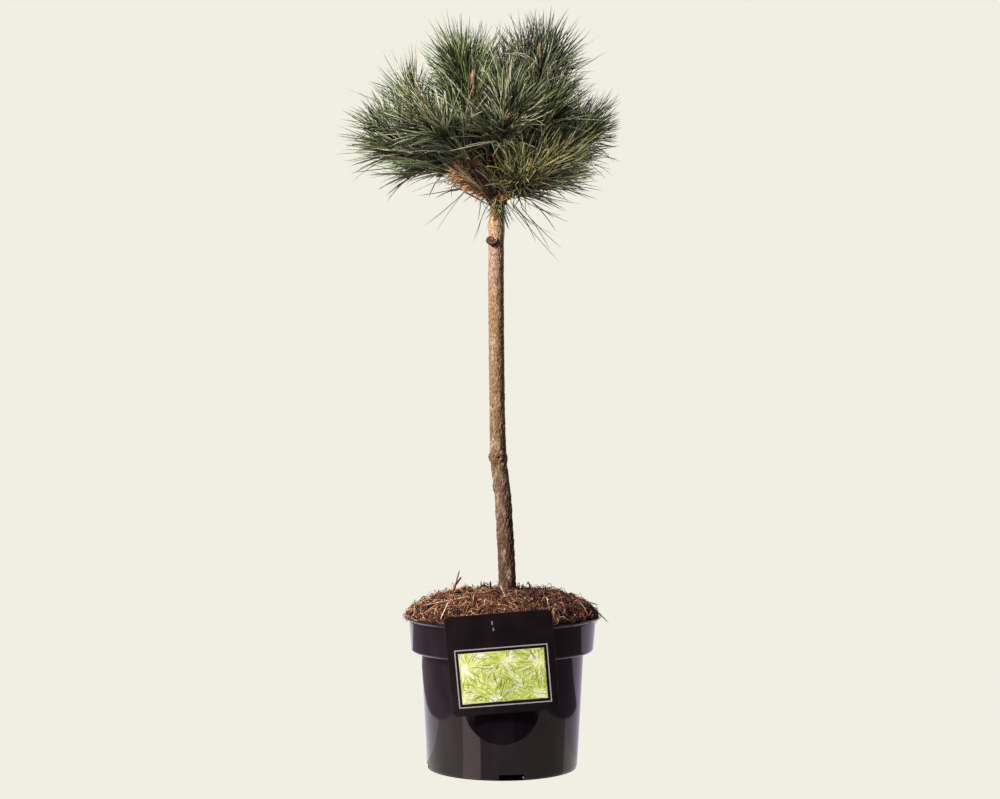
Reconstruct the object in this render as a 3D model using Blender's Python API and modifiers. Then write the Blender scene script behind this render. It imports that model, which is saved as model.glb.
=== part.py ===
"""A Scots pine grafted on a clear stem, grown as a small standard in a black nursery pot.

Units are metres and +Z is up. The origin is the centre of the pot's flat underside, and the
front of the plant looks towards -Y. Azimuths are in degrees: 0 is to the right (+X), 90 is behind
(+Y), 180 is to the left and 270 is in front.
"""

import math
import random

import bmesh
import bpy
import numpy as np
from mathutils import Matrix, Vector
from mathutils.geometry import interpolate_bezier

# Clearance between pieces that rest on each other
GAP = 0.0003

# Pot
POT_HEIGHT = 0.175
POT_WALL = 0.0016
RIM_RADIUS = 0.115
LIP_DROP = 0.0050
COLLAR_TOP_RADIUS = 0.108
COLLAR_FOOT_RADIUS = 0.1055
COLLAR_FOOT_HEIGHT = 0.138
COLLAR_ROUNDING = 0.004
BODY_TOP_RADIUS = 0.094
BODY_TOP_HEIGHT = 0.1325
BODY_FOOT_RADIUS = 0.087
FOOT_ROUNDING = 0.004
POT_SIDES = 40

# Drainage channels under the pot
CHANNEL_COUNT = 4
FRONT_CHANNEL = 277.0
CHANNEL_WIDTH = 0.028
CHANNEL_HEIGHT = 0.007
CHANNEL_INNER = 0.062
CHANNEL_OUTER = 0.098
BELOW_POT = -0.004
DRAIN_SLOT = (0.005, 0.014, 0.012)
DRAIN_PLACE = (0.073, 0.0, 0.006)

# Soil, heaped above the rim
SOIL_CROWN_HEIGHT = 0.1995
SOIL_FLAT_RADIUS = 0.021
SOIL_STEPS = (0.0, 0.4, 0.65, 0.82, 0.93, 1.0)
SOIL_FALL = 2.2
SOIL_SHOULDER = 0.70

# Name card, hooked over the rim at the front
CARD_WIDTH = 0.118
CARD_HEIGHT = 0.116
CARD_THICKNESS = 0.0009
CARD_CORNER = 0.006
CARD_CENTRE_HEIGHT = 0.1338
CARD_ROLL = math.radians(4.8)
CARD_LEAN = math.radians(12.0)
HOOK_WIDTH = 0.020
HOOK_SIDEWAYS = -0.007
HOOK_THICKNESS = 0.0008
HOOK_INNER = 0.1028
HOOK_STEP = 0.0004
HOOK_TIP_HEIGHT = 0.155
HOOK_POCKET_MARGIN = 0.0005

# Stem: height, sideways place and radius at each station, up to the leader's tip
STEM_FOOT_HEIGHT = SOIL_CROWN_HEIGHT + GAP
STEM_STATIONS = (
    (STEM_FOOT_HEIGHT, 0.0059, 0.0104),
    (0.2180, 0.0059, 0.0103),
    (0.2600, 0.0042, 0.0101),
    (0.3100, 0.0012, 0.0099),
    (0.3570, -0.0044, 0.0098),
    (0.4070, -0.0055, 0.0092),
    (0.4960, -0.0065, 0.0092),
    (0.5470, -0.0069, 0.0094),
    (0.6000, -0.0068, 0.0092),
    (0.6380, -0.0058, 0.0086),
    (0.6600, -0.0048, 0.0082),
    (0.6850, -0.0040, 0.0060),
    (0.7160, -0.0030, 0.0042),
)
STEM_RINGS = 38
STEM_ROUNDNESS = 4
FLARE_EXTRA = 0.0016
FLARE_FADE = 0.008

# Old branch scars: height, azimuth and radius of each swelling on the stem
KNOTS = (
    (0.357, 183, 0.0042),
    (0.360, 300, 0.0050),
    (0.353, 238, 0.0040),
    (0.356, 20, 0.0046),
    (0.356, 90, 0.0042),
    (0.322, 190, 0.0032),
    (0.588, 120, 0.0034),
)
KNOT_SINK = 0.0018

# Pruned stub below the crown
STUB_HEIGHT = 0.6015
STUB_AZIMUTH = 243.0
STUB_RISE = math.radians(38.0)
STUB_RADIUS = 0.0066
STUB_LENGTH = 0.0150

# Crown: where each limb leaves the stem, its radius there, and its shoot tips as azimuth, reach
# from the stem and height. The limb leads to the first tip, and a second one is a side shoot's.
CROWN = {
    "top": (0.716, 0.0042, ((342, 0.053, 0.807), (30, 0.042, 0.798))),
    "left": (0.655, 0.0056, ((186, 0.129, 0.722), (161, 0.103, 0.769))),
    "front_left": (0.668, 0.0036, ((224, 0.094, 0.728),)),
    "upper_left": (0.692, 0.0038, ((214, 0.047, 0.795), (150, 0.044, 0.806))),
    "right": (0.666, 0.0044, ((5, 0.092, 0.734), (33, 0.098, 0.726))),
    "right_low": (0.654, 0.0037, ((322, 0.078, 0.680),)),
    "front": (0.676, 0.0038, ((277, 0.084, 0.748),)),
    "front_right": (0.690, 0.0036, ((318, 0.078, 0.750),)),
    "front_low": (0.643, 0.0036, ((292, 0.070, 0.670),)),
    "back_left": (0.664, 0.0041, ((128, 0.104, 0.738), (148, 0.104, 0.703))),
    "back_right": (0.676, 0.0039, ((50, 0.092, 0.722),)),
    "back_high": (0.700, 0.0036, ((88, 0.060, 0.796),)),
    "back_low": (0.652, 0.0036, ((92, 0.086, 0.694),)),
}
CROWN_MIDDLE = -0.005
COURSE_STEPS = 12
LIMB_STEPS = 5
SIDE_SHOOT_STEP = 6
BEND = 0.36
FIRST_RISE = (math.radians(36.0), 0.2)
LAST_RISE = (math.radians(-22.0), 2.0)
STEEPEST_RISE = math.radians(84.0)
TIP_RADIUS = 0.0021
SHEATH_RADIUS = 0.0060
SHEATH_THINNING = 0.45
BUD_STEPS = ((0.2, 0.0034), (0.7, 0.0028), (1.0, 0.0009))
BUD_LENGTH = 0.015
SQUARE_END = 0.003

# Needles: a few stout ones stand for the many fine ones
NEEDLE_LENGTH = 0.066
NEEDLE_LENGTH_SPREAD = (0.90, 1.08)
NEEDLE_RADIUS = 0.0014
NEEDLE_SPACING = 0.0016
NEEDLE_FIRST_TILT = math.radians(62.0)
NEEDLE_LAST_TILT = math.radians(18.0)
NEEDLE_LIFT = 0.20
NEEDLE_SWEEP = 0.66
CROWN_FOOT = Vector((0.0, 0.0, 0.655))
NEEDLE_JITTER = 0.14
NEEDLE_TRIES = (1.0, 0.82, 0.64)
NEEDLE_TEST_SHARES = (0.12, 0.3, 0.45, 0.6, 0.75, 0.88, 1.0)
LIMB_CLEARANCE = 0.0085
STEM_CLEARANCE = 0.0125
GOLDEN_ANGLE = math.radians(137.508)
SEED = 41

# Colour and roughness of each finish
FINISHES = {
    "pot": ((0.020, 0.017, 0.022), 0.22),
    "soil": ((0.120, 0.055, 0.030), 0.95),
    "card": ((0.018, 0.014, 0.018), 0.35),
    "bark": ((0.330, 0.190, 0.090), 0.90),
    "needles": ((0.060, 0.110, 0.050), 0.55),
}


def clear_scene():
    for obj in list(bpy.data.objects):
        bpy.data.objects.remove(obj)


def new_collection(name):
    collection = bpy.data.collections.new(name)
    bpy.context.scene.collection.children.link(collection)
    return collection


def make_finishes():
    """One plain material for each finish of the plant and its pot."""
    made = {}
    for name, (colour, roughness) in FINISHES.items():
        material = bpy.data.materials.new(name)
        material.use_nodes = True
        shader = material.node_tree.nodes["Principled BSDF"]
        shader.inputs["Base Color"].default_value = (*colour, 1.0)
        shader.inputs["Roughness"].default_value = roughness
        shader.inputs["Metallic"].default_value = 0.0
        made[name] = material
    return made


def new_object(name, mesh, collection, material=None):
    obj = bpy.data.objects.new(name, mesh)
    collection.objects.link(obj)
    if material:
        mesh.materials.append(material)
    return obj


def as_helper(obj):
    """Marks a cutter or guide, which isn't a piece of the plant."""
    obj.hide_render = True
    obj.display_type = "WIRE"
    return obj


def add_boolean(obj, operation, other):
    """Cuts obj by another object or a whole collection, or joins it to them."""
    modifier = obj.modifiers.new(operation.lower(), "BOOLEAN")
    modifier.operation = operation
    if isinstance(other, bpy.types.Collection):
        modifier.operand_type = "COLLECTION"
        modifier.collection = other
    else:
        modifier.object = other


def baked_mesh(obj):
    """The object's mesh with its modifiers applied."""
    bpy.context.view_layer.update()
    graph = bpy.context.evaluated_depsgraph_get()
    return bpy.data.meshes.new_from_object(obj.evaluated_get(graph))


def fuse(obj, pieces):
    """Joins a collection of overlapping pieces to obj for good, and removes them."""
    add_boolean(obj, "UNION", pieces)
    mesh = baked_mesh(obj)
    obj.modifiers.clear()
    obj.data = mesh
    for piece in list(pieces.objects):
        bpy.data.objects.remove(piece)
    bpy.data.collections.remove(pieces)


def box(name, size, centre, azimuth, collection):
    """A box at a centre that is then turned about +Z to an azimuth."""
    cage = bmesh.new()
    bmesh.ops.create_cube(cage, size=1.0)
    bmesh.ops.scale(cage, vec=Vector(size), verts=cage.verts)
    bmesh.ops.translate(cage, vec=Vector(centre), verts=cage.verts)
    turn = Matrix.Rotation(math.radians(azimuth), 3, "Z")
    bmesh.ops.rotate(cage, matrix=turn, verts=cage.verts)
    mesh = bpy.data.meshes.new(name)
    cage.to_mesh(mesh)
    cage.free()
    return as_helper(new_object(name, mesh, collection))


def turned(name, profile, collection, material=None):
    """A solid turned about +Z from (radius, height) points that run down its outer side."""
    mesh = bpy.data.meshes.new(name)
    points = [(radius, 0.0, height) for radius, height in profile]
    edges = [(i, i + 1) for i in range(len(points) - 1)]
    mesh.from_pydata(points, edges, [])
    obj = new_object(name, mesh, collection, material)
    screw = obj.modifiers.new("turn", "SCREW")
    screw.steps = POT_SIDES
    screw.render_steps = POT_SIDES
    screw.use_merge_vertices = True
    screw.merge_threshold = 0.0001
    screw.use_smooth_shade = True
    return obj


def tube(name, points, radii, collection, material=None, roundness=1):
    """A tapering limb as a closed mesh: a curve through the points, with a radius at each."""
    curve = bpy.data.curves.new(name, "CURVE")
    curve.dimensions = "3D"
    curve.bevel_depth = 1.0
    curve.bevel_resolution = roundness
    curve.use_fill_caps = True
    spline = curve.splines.new("POLY")
    spline.points.add(len(points) - 1)
    for knot, point, radius in zip(spline.points, points, radii):
        knot.co = (*point, 1.0)
        knot.radius = radius
    guide = bpy.data.objects.new(name + "_guide", curve)
    collection.objects.link(guide)
    mesh = baked_mesh(guide)
    bpy.data.objects.remove(guide)
    cage = bmesh.new()
    cage.from_mesh(mesh)
    bmesh.ops.remove_doubles(cage, verts=cage.verts, dist=1e-6)
    bmesh.ops.recalc_face_normals(cage, faces=cage.faces)
    cage.to_mesh(mesh)
    cage.free()
    mesh.shade_smooth()
    mesh.set_sharp_from_angle(angle=math.radians(60.0))
    return new_object(name, mesh, collection, material)


def quarter_round(start, end, steps, upright=False):
    """Points from one corner of a quarter ellipse to the other, without the first.

    The round leaves its start level, or upright, and ends square to that.
    """
    points = []
    for i in range(1, steps + 1):
        turn = math.pi / 2 * i / steps
        along, across = math.sin(turn), 1 - math.cos(turn)
        if upright:
            along, across = across, along
        points.append((start[0] + (end[0] - start[0]) * along, start[1] + (end[1] - start[1]) * across))
    return points


def pot_outline(inset):
    """(radius, height) points down the pot's side, from lip to axis, moved inwards by inset."""
    lip = (RIM_RADIUS, POT_HEIGHT - POT_WALL + inset)
    collar_top = (COLLAR_TOP_RADIUS - inset, lip[1] - LIP_DROP - inset)
    collar_foot = (COLLAR_FOOT_RADIUS - inset, COLLAR_FOOT_HEIGHT)
    ledge = (collar_foot[0] - COLLAR_ROUNDING, COLLAR_FOOT_HEIGHT - COLLAR_ROUNDING + inset)
    body_top = (BODY_TOP_RADIUS - inset, BODY_TOP_HEIGHT + inset)
    body_foot = (BODY_FOOT_RADIUS - inset, FOOT_ROUNDING + inset)
    underside = (body_foot[0] - FOOT_ROUNDING, inset)
    outline = [lip]
    outline += quarter_round(lip, collar_top, 3)
    outline += [collar_foot]
    outline += quarter_round(collar_foot, ledge, 2, upright=True)
    outline += [body_top, body_foot]
    outline += quarter_round(body_foot, underside, 2, upright=True)
    return outline + [(0.0, inset)]


def channel_boxes(collection, margin):
    """The drainage channels as boxes, with each side moved outwards by margin."""
    inner, outer = CHANNEL_INNER - margin, CHANNEL_OUTER
    top = CHANNEL_HEIGHT + margin
    size = (outer - inner, CHANNEL_WIDTH + 2 * margin, top - BELOW_POT)
    centre = ((inner + outer) / 2, 0.0, (top + BELOW_POT) / 2)
    for i in range(CHANNEL_COUNT):
        azimuth = FRONT_CHANNEL + 360.0 * i / CHANNEL_COUNT
        box(f"{collection.name}_{i}", size, centre, azimuth, collection)


def make_pot(collection, guides, material):
    """The thin shell, with its flared lip, collar and four drainage channels."""
    pot = turned("pot", pot_outline(POT_WALL)[::-1] + pot_outline(0.0), collection, material)

    below_ledge = [point for point in pot_outline(POT_WALL / 2) if point[1] < COLLAR_FOOT_HEIGHT / 2]
    body_core = [(0.0, COLLAR_FOOT_HEIGHT / 2), (BODY_FOOT_RADIUS, COLLAR_FOOT_HEIGHT / 2)]
    core = as_helper(turned("pot_core", body_core + below_ledge, guides))
    roofs = new_collection("channel_roof")
    channel_boxes(roofs, POT_WALL)
    for roof in roofs.objects:
        add_boolean(roof, "INTERSECT", core)
    add_boolean(pot, "UNION", roofs)

    channels = new_collection("channel")
    channel_boxes(channels, 0.0)
    for i in range(CHANNEL_COUNT):
        azimuth = FRONT_CHANNEL + 360.0 * i / CHANNEL_COUNT
        box(f"drain_slot_{i}", DRAIN_SLOT, DRAIN_PLACE, azimuth, channels)
    add_boolean(pot, "DIFFERENCE", channels)


def make_soil(collection, material):
    """The soil that fills the pot, with a low dome and a pocket for the card's hook."""
    below_lip = pot_outline(POT_WALL + GAP)[2:]
    edge_radius, edge_height = below_lip[0]
    dome = [(0.0, SOIL_CROWN_HEIGHT)]
    for share in SOIL_STEPS:
        radius = SOIL_FLAT_RADIUS + (edge_radius - SOIL_FLAT_RADIUS) * share
        rise = (SOIL_CROWN_HEIGHT - edge_height) * (1 - share**SOIL_FALL) ** SOIL_SHOULDER
        dome.append((radius, edge_height + rise))
    soil = turned("soil", dome[:-1] + below_lip, collection, material)

    clearances = new_collection("soil_clearance")
    channel_boxes(clearances, POT_WALL + GAP)
    back = -(HOOK_INNER - HOOK_POCKET_MARGIN)
    front = -RIM_RADIUS
    bottom = HOOK_TIP_HEIGHT - HOOK_POCKET_MARGIN
    top = SOIL_CROWN_HEIGHT
    size = (HOOK_WIDTH + 2 * HOOK_POCKET_MARGIN, back - front, top - bottom)
    centre = (HOOK_SIDEWAYS, (back + front) / 2, (top + bottom) / 2)
    box("hook_pocket", size, centre, 0.0, clearances)
    add_boolean(soil, "DIFFERENCE", clearances)


def make_card(collection, material):
    """The name card: a thin plate with round corners, and the hook that holds it on the rim."""
    cage = bmesh.new()
    bmesh.ops.create_grid(cage, x_segments=1, y_segments=1, size=0.5)
    bmesh.ops.scale(cage, vec=Vector((CARD_WIDTH, CARD_HEIGHT, 1.0)), verts=cage.verts)
    mesh = bpy.data.meshes.new("name_card")
    cage.to_mesh(mesh)
    cage.free()
    card = new_object("name_card", mesh, collection, material)
    corners = card.modifiers.new("round corners", "BEVEL")
    corners.affect = "VERTICES"
    corners.width = CARD_CORNER
    corners.segments = 4
    plate = card.modifiers.new("thickness", "SOLIDIFY")
    plate.thickness = CARD_THICKNESS
    plate.offset = 0.0

    lip_height = POT_HEIGHT - POT_WALL
    drop = lip_height - CARD_CENTRE_HEIGHT
    forward = RIM_RADIUS + GAP + CARD_THICKNESS / 2 / math.cos(CARD_LEAN) - drop * math.tan(CARD_LEAN)
    upright = Matrix.Rotation(math.pi / 2 + CARD_LEAN, 4, "X")
    roll = Matrix.Rotation(CARD_ROLL, 4, "Z")
    card.matrix_world = Matrix.Translation((0.0, -forward, CARD_CENTRE_HEIGHT)) @ upright @ roll

    hook = new_collection("hook")
    underside = POT_HEIGHT + GAP
    middle = underside + HOOK_THICKNESS / 2
    card_middle = RIM_RADIUS + GAP + (underside - lip_height) * math.tan(CARD_LEAN) + CARD_THICKNESS / 2
    size = (HOOK_WIDTH, card_middle - HOOK_INNER, HOOK_THICKNESS)
    box("hook_bridge", size, (HOOK_SIDEWAYS, -(card_middle + HOOK_INNER) / 2, middle), 0.0, hook)
    size = (HOOK_WIDTH - 2 * HOOK_STEP, HOOK_THICKNESS, middle - HOOK_TIP_HEIGHT)
    back = HOOK_INNER + HOOK_STEP + HOOK_THICKNESS / 2
    box("hook_tongue", size, (HOOK_SIDEWAYS, -back, (middle + HOOK_TIP_HEIGHT) / 2), 0.0, hook)
    add_boolean(card, "UNION", hook)


def stem_place(height):
    """The middle of the stem at a height."""
    heights, sideways, _ = zip(*STEM_STATIONS)
    return Vector((float(np.interp(height, heights, sideways)), 0.0, height))


def stem_radius(height):
    heights, _, radii = zip(*STEM_STATIONS)
    flare = FLARE_EXTRA * math.exp(-(height - STEM_FOOT_HEIGHT) / FLARE_FADE)
    return float(np.interp(height, heights, radii)) + flare


def direction(azimuth, rise):
    """The unit vector at an azimuth and an angle of rise, both in radians."""
    level = math.cos(rise)
    return Vector((level * math.cos(azimuth), level * math.sin(azimuth), math.sin(rise)))


def ball(name, centre, radius, collection):
    cage = bmesh.new()
    bmesh.ops.create_uvsphere(cage, u_segments=8, v_segments=5, radius=radius)
    bmesh.ops.translate(cage, vec=centre, verts=cage.verts)
    mesh = bpy.data.meshes.new(name)
    cage.to_mesh(mesh)
    cage.free()
    return new_object(name, mesh, collection)


def make_stem(collection, guides, material):
    """The clear stem with its scars and stub. Returns a sleeve round it, which trims the boughs."""
    heights = np.linspace(STEM_FOOT_HEIGHT, STEM_STATIONS[-1][0], STEM_RINGS)
    points = [stem_place(float(height)) for height in heights]
    radii = [stem_radius(float(height)) for height in heights]
    stem = tube("stem", points, radii, collection, material, STEM_ROUNDNESS)

    swellings = new_collection("swellings")
    for i, (height, azimuth, radius) in enumerate(KNOTS):
        way = direction(math.radians(azimuth), 0.0)
        centre = stem_place(height) + way * (stem_radius(height) - KNOT_SINK)
        ball(f"knot_{i}", centre, radius, swellings)
    way = direction(math.radians(STUB_AZIMUTH), STUB_RISE)
    start = stem_place(STUB_HEIGHT)
    ends = [start, start + way * STUB_LENGTH]
    tube("stub", ends, [STUB_RADIUS * 1.1, STUB_RADIUS], swellings, roundness=3)
    fuse(stem, swellings)

    wider = [radius + GAP for radius in radii]
    above = points[-1] + (points[-1] - points[-2])
    sleeve = tube("stem_sleeve", points + [above], wider + wider[-1:], guides, roundness=STEM_ROUNDNESS)
    return as_helper(sleeve)


def crown_place(azimuth, reach, height):
    level = direction(math.radians(azimuth), 0.0) * reach
    return Vector((CROWN_MIDDLE + level.x, level.y, height))


def final_heading(root, tip):
    """Where a shoot points at its tip: a low one levels out, and a high one turns upright."""
    chord = tip - root
    rise = math.atan2(chord.z, chord.to_2d().length)
    last_rise = min(LAST_RISE[0] + LAST_RISE[1] * rise, STEEPEST_RISE)
    return direction(math.atan2(chord.y, chord.x), last_rise)


def course(start, heading, tip, finish):
    """Points along the curve of a shoot that leaves start on one heading and ends on another."""
    handle = BEND * (tip - start).length
    return interpolate_bezier(start, start + heading * handle, tip - finish * handle, tip, COURSE_STEPS + 1)


def crown_courses():
    """The courses of every mass's shoots: the main one from the stem's middle, then side shoots."""
    courses = {}
    for name, (root_height, _, tips) in CROWN.items():
        root = stem_place(root_height)
        ends = [crown_place(*tip) for tip in tips]
        chord = ends[0] - root
        rise = math.atan2(chord.z, chord.to_2d().length)
        heading = direction(math.atan2(chord.y, chord.x), FIRST_RISE[0] + FIRST_RISE[1] * rise)
        if name == "top":
            heading = Vector((0.0, 0.0, 1.0))
        main = course(root, heading, ends[0], final_heading(root, ends[0]))
        courses[name] = [main]
        for end in ends[1:]:
            fork = main[SIDE_SHOOT_STEP]
            along = (main[SIDE_SHOOT_STEP + 1] - fork).normalized()
            courses[name].append(course(fork, along, end, final_heading(root, end)))
    return courses


def wood_radius(name, step):
    root_radius = CROWN[name][1]
    return root_radius + (TIP_RADIUS - root_radius) * step / COURSE_STEPS


def make_limb(name, points, collection, sleeve, material):
    """The bare bough from the stem to where its mass of needles begins."""
    radii = [wood_radius(name, step) for step in range(LIMB_STEPS + 1)]
    limb = tube(f"bough_{name}", points[:LIMB_STEPS + 1], radii, collection, material)
    add_boolean(limb, "DIFFERENCE", sleeve)


def squared_start(points, before):
    """Moves the first point a gap on, with a short straight length, so that flat ends face."""
    heading = (points[0] - before).normalized()
    start = points[0] + heading * GAP
    return [start, start + heading * SQUARE_END] + points[1:]


def leafy_twig(name, points, first_radii, collection, material=None):
    """A shoot in its sheath of needle bases, with the bud at its tip."""
    count = len(points)
    radii = list(first_radii)
    for i in range(len(radii), count):
        radii.append(SHEATH_RADIUS * (1 - SHEATH_THINNING * i / (count - 1)))
    finish = (points[-1] - points[-2]).normalized()
    bud = [points[-1] + finish * BUD_LENGTH * share for share, _ in BUD_STEPS]
    radii += [radius for _, radius in BUD_STEPS]
    return tube(name, points + bud, radii, collection, material)


def along_course(points, spacing):
    """Places at an even spacing along a course, each with its heading and its share of the way."""
    lengths = [(b - a).length for a, b in zip(points, points[1:])]
    ends = np.cumsum([0.0] + lengths)
    places = []
    for distance in np.arange(0.0, ends[-1], spacing):
        i = min(int(np.searchsorted(ends, distance, side="right")) - 1, len(lengths) - 1)
        heading = (points[i + 1] - points[i]).normalized()
        places.append((points[i] + heading * float(distance - ends[i]), heading, distance / ends[-1]))
    return places


def needle_way(root, heading, number, share, rng):
    """The direction of a needle: wide of the shoot at its foot, close at its tip, and swept outwards."""
    tilt = NEEDLE_FIRST_TILT + (NEEDLE_LAST_TILT - NEEDLE_FIRST_TILT) * share
    tilt += rng.uniform(-NEEDLE_JITTER, NEEDLE_JITTER)
    turn = number * GOLDEN_ANGLE + rng.uniform(-NEEDLE_JITTER, NEEDLE_JITTER)
    side = heading.orthogonal().normalized()
    across = heading.cross(side)
    outwards = side * math.cos(turn) + across * math.sin(turn)
    way = heading * math.cos(tilt) + outwards * math.sin(tilt)
    way += NEEDLE_SWEEP * (root - CROWN_FOOT).normalized()
    way.z += NEEDLE_LIFT
    return way.normalized()


def nearest(cloud, point):
    return float(np.linalg.norm(cloud - np.array(point), axis=1).min())


def keeps_clear(root, reach, own, others):
    """Whether a needle stays in its own mass's space, clear of the stem and every limb."""
    for share in NEEDLE_TEST_SHARES:
        point = root + reach * share
        thickness = 2 * NEEDLE_RADIUS * (1 - share)
        to_other = nearest(others, point)
        if to_other < LIMB_CLEARANCE or to_other - nearest(own, point) < thickness + 2 * GAP:
            return False
        height = min(point.z, STEM_STATIONS[-1][0])
        if (point - stem_place(height)).length < STEM_CLEARANCE:
            return False
    return True


def needle_mesh():
    """A three-sided needle of unit radius and length, with its root at the origin."""
    cage = bmesh.new()
    bmesh.ops.create_cone(cage, cap_ends=True, segments=3, radius1=1.0, radius2=0.0, depth=1.0)
    bmesh.ops.translate(cage, vec=Vector((0.0, 0.0, 0.5)), verts=cage.verts)
    mesh = bpy.data.meshes.new("needle")
    cage.to_mesh(mesh)
    cage.free()
    return mesh


def grow_needles(shoots, own, others, mesh, collection, rng):
    """Sets needles round each leafy course wherever the mass has room for them."""
    for points in shoots:
        for number, (root, heading, share) in enumerate(along_course(points, NEEDLE_SPACING)):
            for size in NEEDLE_TRIES:
                length = NEEDLE_LENGTH * size * rng.uniform(*NEEDLE_LENGTH_SPREAD)
                way = needle_way(root, heading, number, share, rng)
                if keeps_clear(root, way * length, own, others):
                    needle = bpy.data.objects.new(f"needle_{number}", mesh)
                    turn = way.to_track_quat("Z", "Y").to_matrix().to_4x4()
                    stretch = Matrix.Diagonal((NEEDLE_RADIUS, NEEDLE_RADIUS, length, 1.0))
                    needle.matrix_world = Matrix.Translation(root) @ turn @ stretch
                    collection.objects.link(needle)
                    break


def course_cloud(courses):
    """Every course's points as one array, with points added between them."""
    cloud = []
    for points in courses:
        for a, b in zip(points, points[1:]):
            cloud += [a.lerp(b, share) for share in (0.0, 0.34, 0.67)]
        cloud.append(points[-1])
    return np.array(cloud)


def make_mass(name, courses, before, mesh, collection, material):
    """One mass of foliage: its shoots, buds and needles fused into one solid."""
    first_step = 0 if name == "top" else LIMB_STEPS
    main, *sides = courses[name]
    own = course_cloud([main[first_step:]] + sides)
    neighbours = [points for other, listed in courses.items() if other != name for points in listed]
    if name != "top":
        neighbours.append(main[:LIMB_STEPS])
    others = course_cloud(neighbours)

    points = squared_start(main[first_step:], before)
    end_radius = wood_radius(name, first_step)
    mass = leafy_twig(f"needles_{name}", points, [end_radius, end_radius], collection, material)
    pieces = new_collection("pieces")
    for i, side in enumerate(sides):
        leafy_twig(f"side_shoot_{i}", side, [TIP_RADIUS, TIP_RADIUS], pieces)
    leafy = [main[SIDE_SHOOT_STEP:]] + [side[1:] for side in sides]
    grow_needles(leafy, own, others, mesh, pieces, random.Random(f"{SEED} {name}"))
    fuse(mass, pieces)


def main():
    clear_scene()
    finishes = make_finishes()
    plant = new_collection("potted_pine")
    guides = new_collection("guides")

    make_pot(plant, guides, finishes["pot"])
    make_soil(plant, finishes["soil"])
    make_card(plant, finishes["card"])
    sleeve = make_stem(plant, guides, finishes["bark"])

    courses = crown_courses()
    mesh = needle_mesh()
    for name, listed in courses.items():
        before = stem_place(STEM_STATIONS[-2][0])
        if name != "top":
            make_limb(name, listed[0], plant, sleeve, finishes["bark"])
            before = listed[0][LIMB_STEPS - 1]
        make_mass(name, courses, before, mesh, plant, finishes["needles"])


main()
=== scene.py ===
# %% [markdown]
# # A grafted pine in its nursery pot
#
# This lesson dresses a small pine that was grafted on a clear stem. The plain solids of the pot, the soil,
# the name card, the stem, the boughs and the masses of needles are loaded first. Then each is replaced by a
# finer piece that stands in the same place. Lengths are in metres, +Z is up and the plant's front looks
# towards -Y.

import math
import random

import bmesh
import bpy
import numpy as np
from mathutils import Matrix, Vector, noise
from mathutils.geometry import interpolate_bezier


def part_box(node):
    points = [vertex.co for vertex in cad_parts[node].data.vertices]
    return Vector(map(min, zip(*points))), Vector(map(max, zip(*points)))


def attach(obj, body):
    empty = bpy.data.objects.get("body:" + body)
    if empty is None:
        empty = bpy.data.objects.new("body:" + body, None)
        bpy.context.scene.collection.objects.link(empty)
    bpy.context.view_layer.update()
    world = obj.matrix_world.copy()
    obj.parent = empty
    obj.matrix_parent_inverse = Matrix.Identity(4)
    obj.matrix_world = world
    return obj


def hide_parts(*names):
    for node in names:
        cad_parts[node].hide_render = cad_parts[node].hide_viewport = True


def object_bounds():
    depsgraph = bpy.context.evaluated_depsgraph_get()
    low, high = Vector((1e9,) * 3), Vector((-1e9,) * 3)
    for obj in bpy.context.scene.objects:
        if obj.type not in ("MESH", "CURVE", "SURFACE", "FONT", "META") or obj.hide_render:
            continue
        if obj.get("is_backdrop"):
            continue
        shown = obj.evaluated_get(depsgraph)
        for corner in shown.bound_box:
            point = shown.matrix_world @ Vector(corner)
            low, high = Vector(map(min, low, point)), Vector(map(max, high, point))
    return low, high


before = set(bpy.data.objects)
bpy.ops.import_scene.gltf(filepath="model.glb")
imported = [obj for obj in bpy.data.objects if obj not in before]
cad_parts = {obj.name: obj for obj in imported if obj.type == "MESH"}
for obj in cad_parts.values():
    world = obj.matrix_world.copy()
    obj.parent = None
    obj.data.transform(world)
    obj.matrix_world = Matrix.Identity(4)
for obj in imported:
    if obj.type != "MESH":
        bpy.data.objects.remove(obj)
cad_low, cad_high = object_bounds()
print("solids loaded:", len(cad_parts), "height", round(cad_high[2] - cad_low[2], 3))

# %% [markdown]
# ## The camera
#
# The plant was taken from the front, about half way up, with a level camera some two metres away. A level
# camera keeps upright things upright, so the stem and the pot don't lean together. A longer lens keeps the
# round rim of the pot nearly flat, and the eye height sets how much of the soil shows.

# %% Place the camera
FRAME_WIDTH = 1000
FOCUS_IN_PIXELS = 1860.0
SENSOR_WIDTH = 36.0
CAMERA_PLACE = (-0.0023, -2.15, 0.4236)

camera_data = bpy.data.cameras.new("camera")
camera_data.sensor_width = SENSOR_WIDTH
camera_data.lens = SENSOR_WIDTH * FOCUS_IN_PIXELS / FRAME_WIDTH
camera = bpy.data.objects.new("camera", camera_data)
camera.location = CAMERA_PLACE
camera.rotation_euler = (math.radians(90.0), 0.0, 0.0)
bpy.context.scene.collection.objects.link(camera)
bpy.context.scene.camera = camera
print("lens", round(camera_data.lens, 1), "mm")

# %% [markdown]
# ## Helpers for pieces and plain finishes
#
# Every piece goes into one collection and rides on the body of the plant. The slot word that it is given only
# picks out the needles, which also go into a second collection. A plain finish is one Principled shader with
# its colour and roughness set on the sockets. Needles, fibres and chips use several plain finishes, dealt out
# from one small shape to the next, because a pattern would be finer than they are.

# %% Make the helpers
BODY = "root"
plant = bpy.data.collections.new("plant")
foliage = bpy.data.collections.new("foliage")
for group in (plant, foliage):
    bpy.context.scene.collection.children.link(group)
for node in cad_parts.values():
    plant.objects.link(node)


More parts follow.
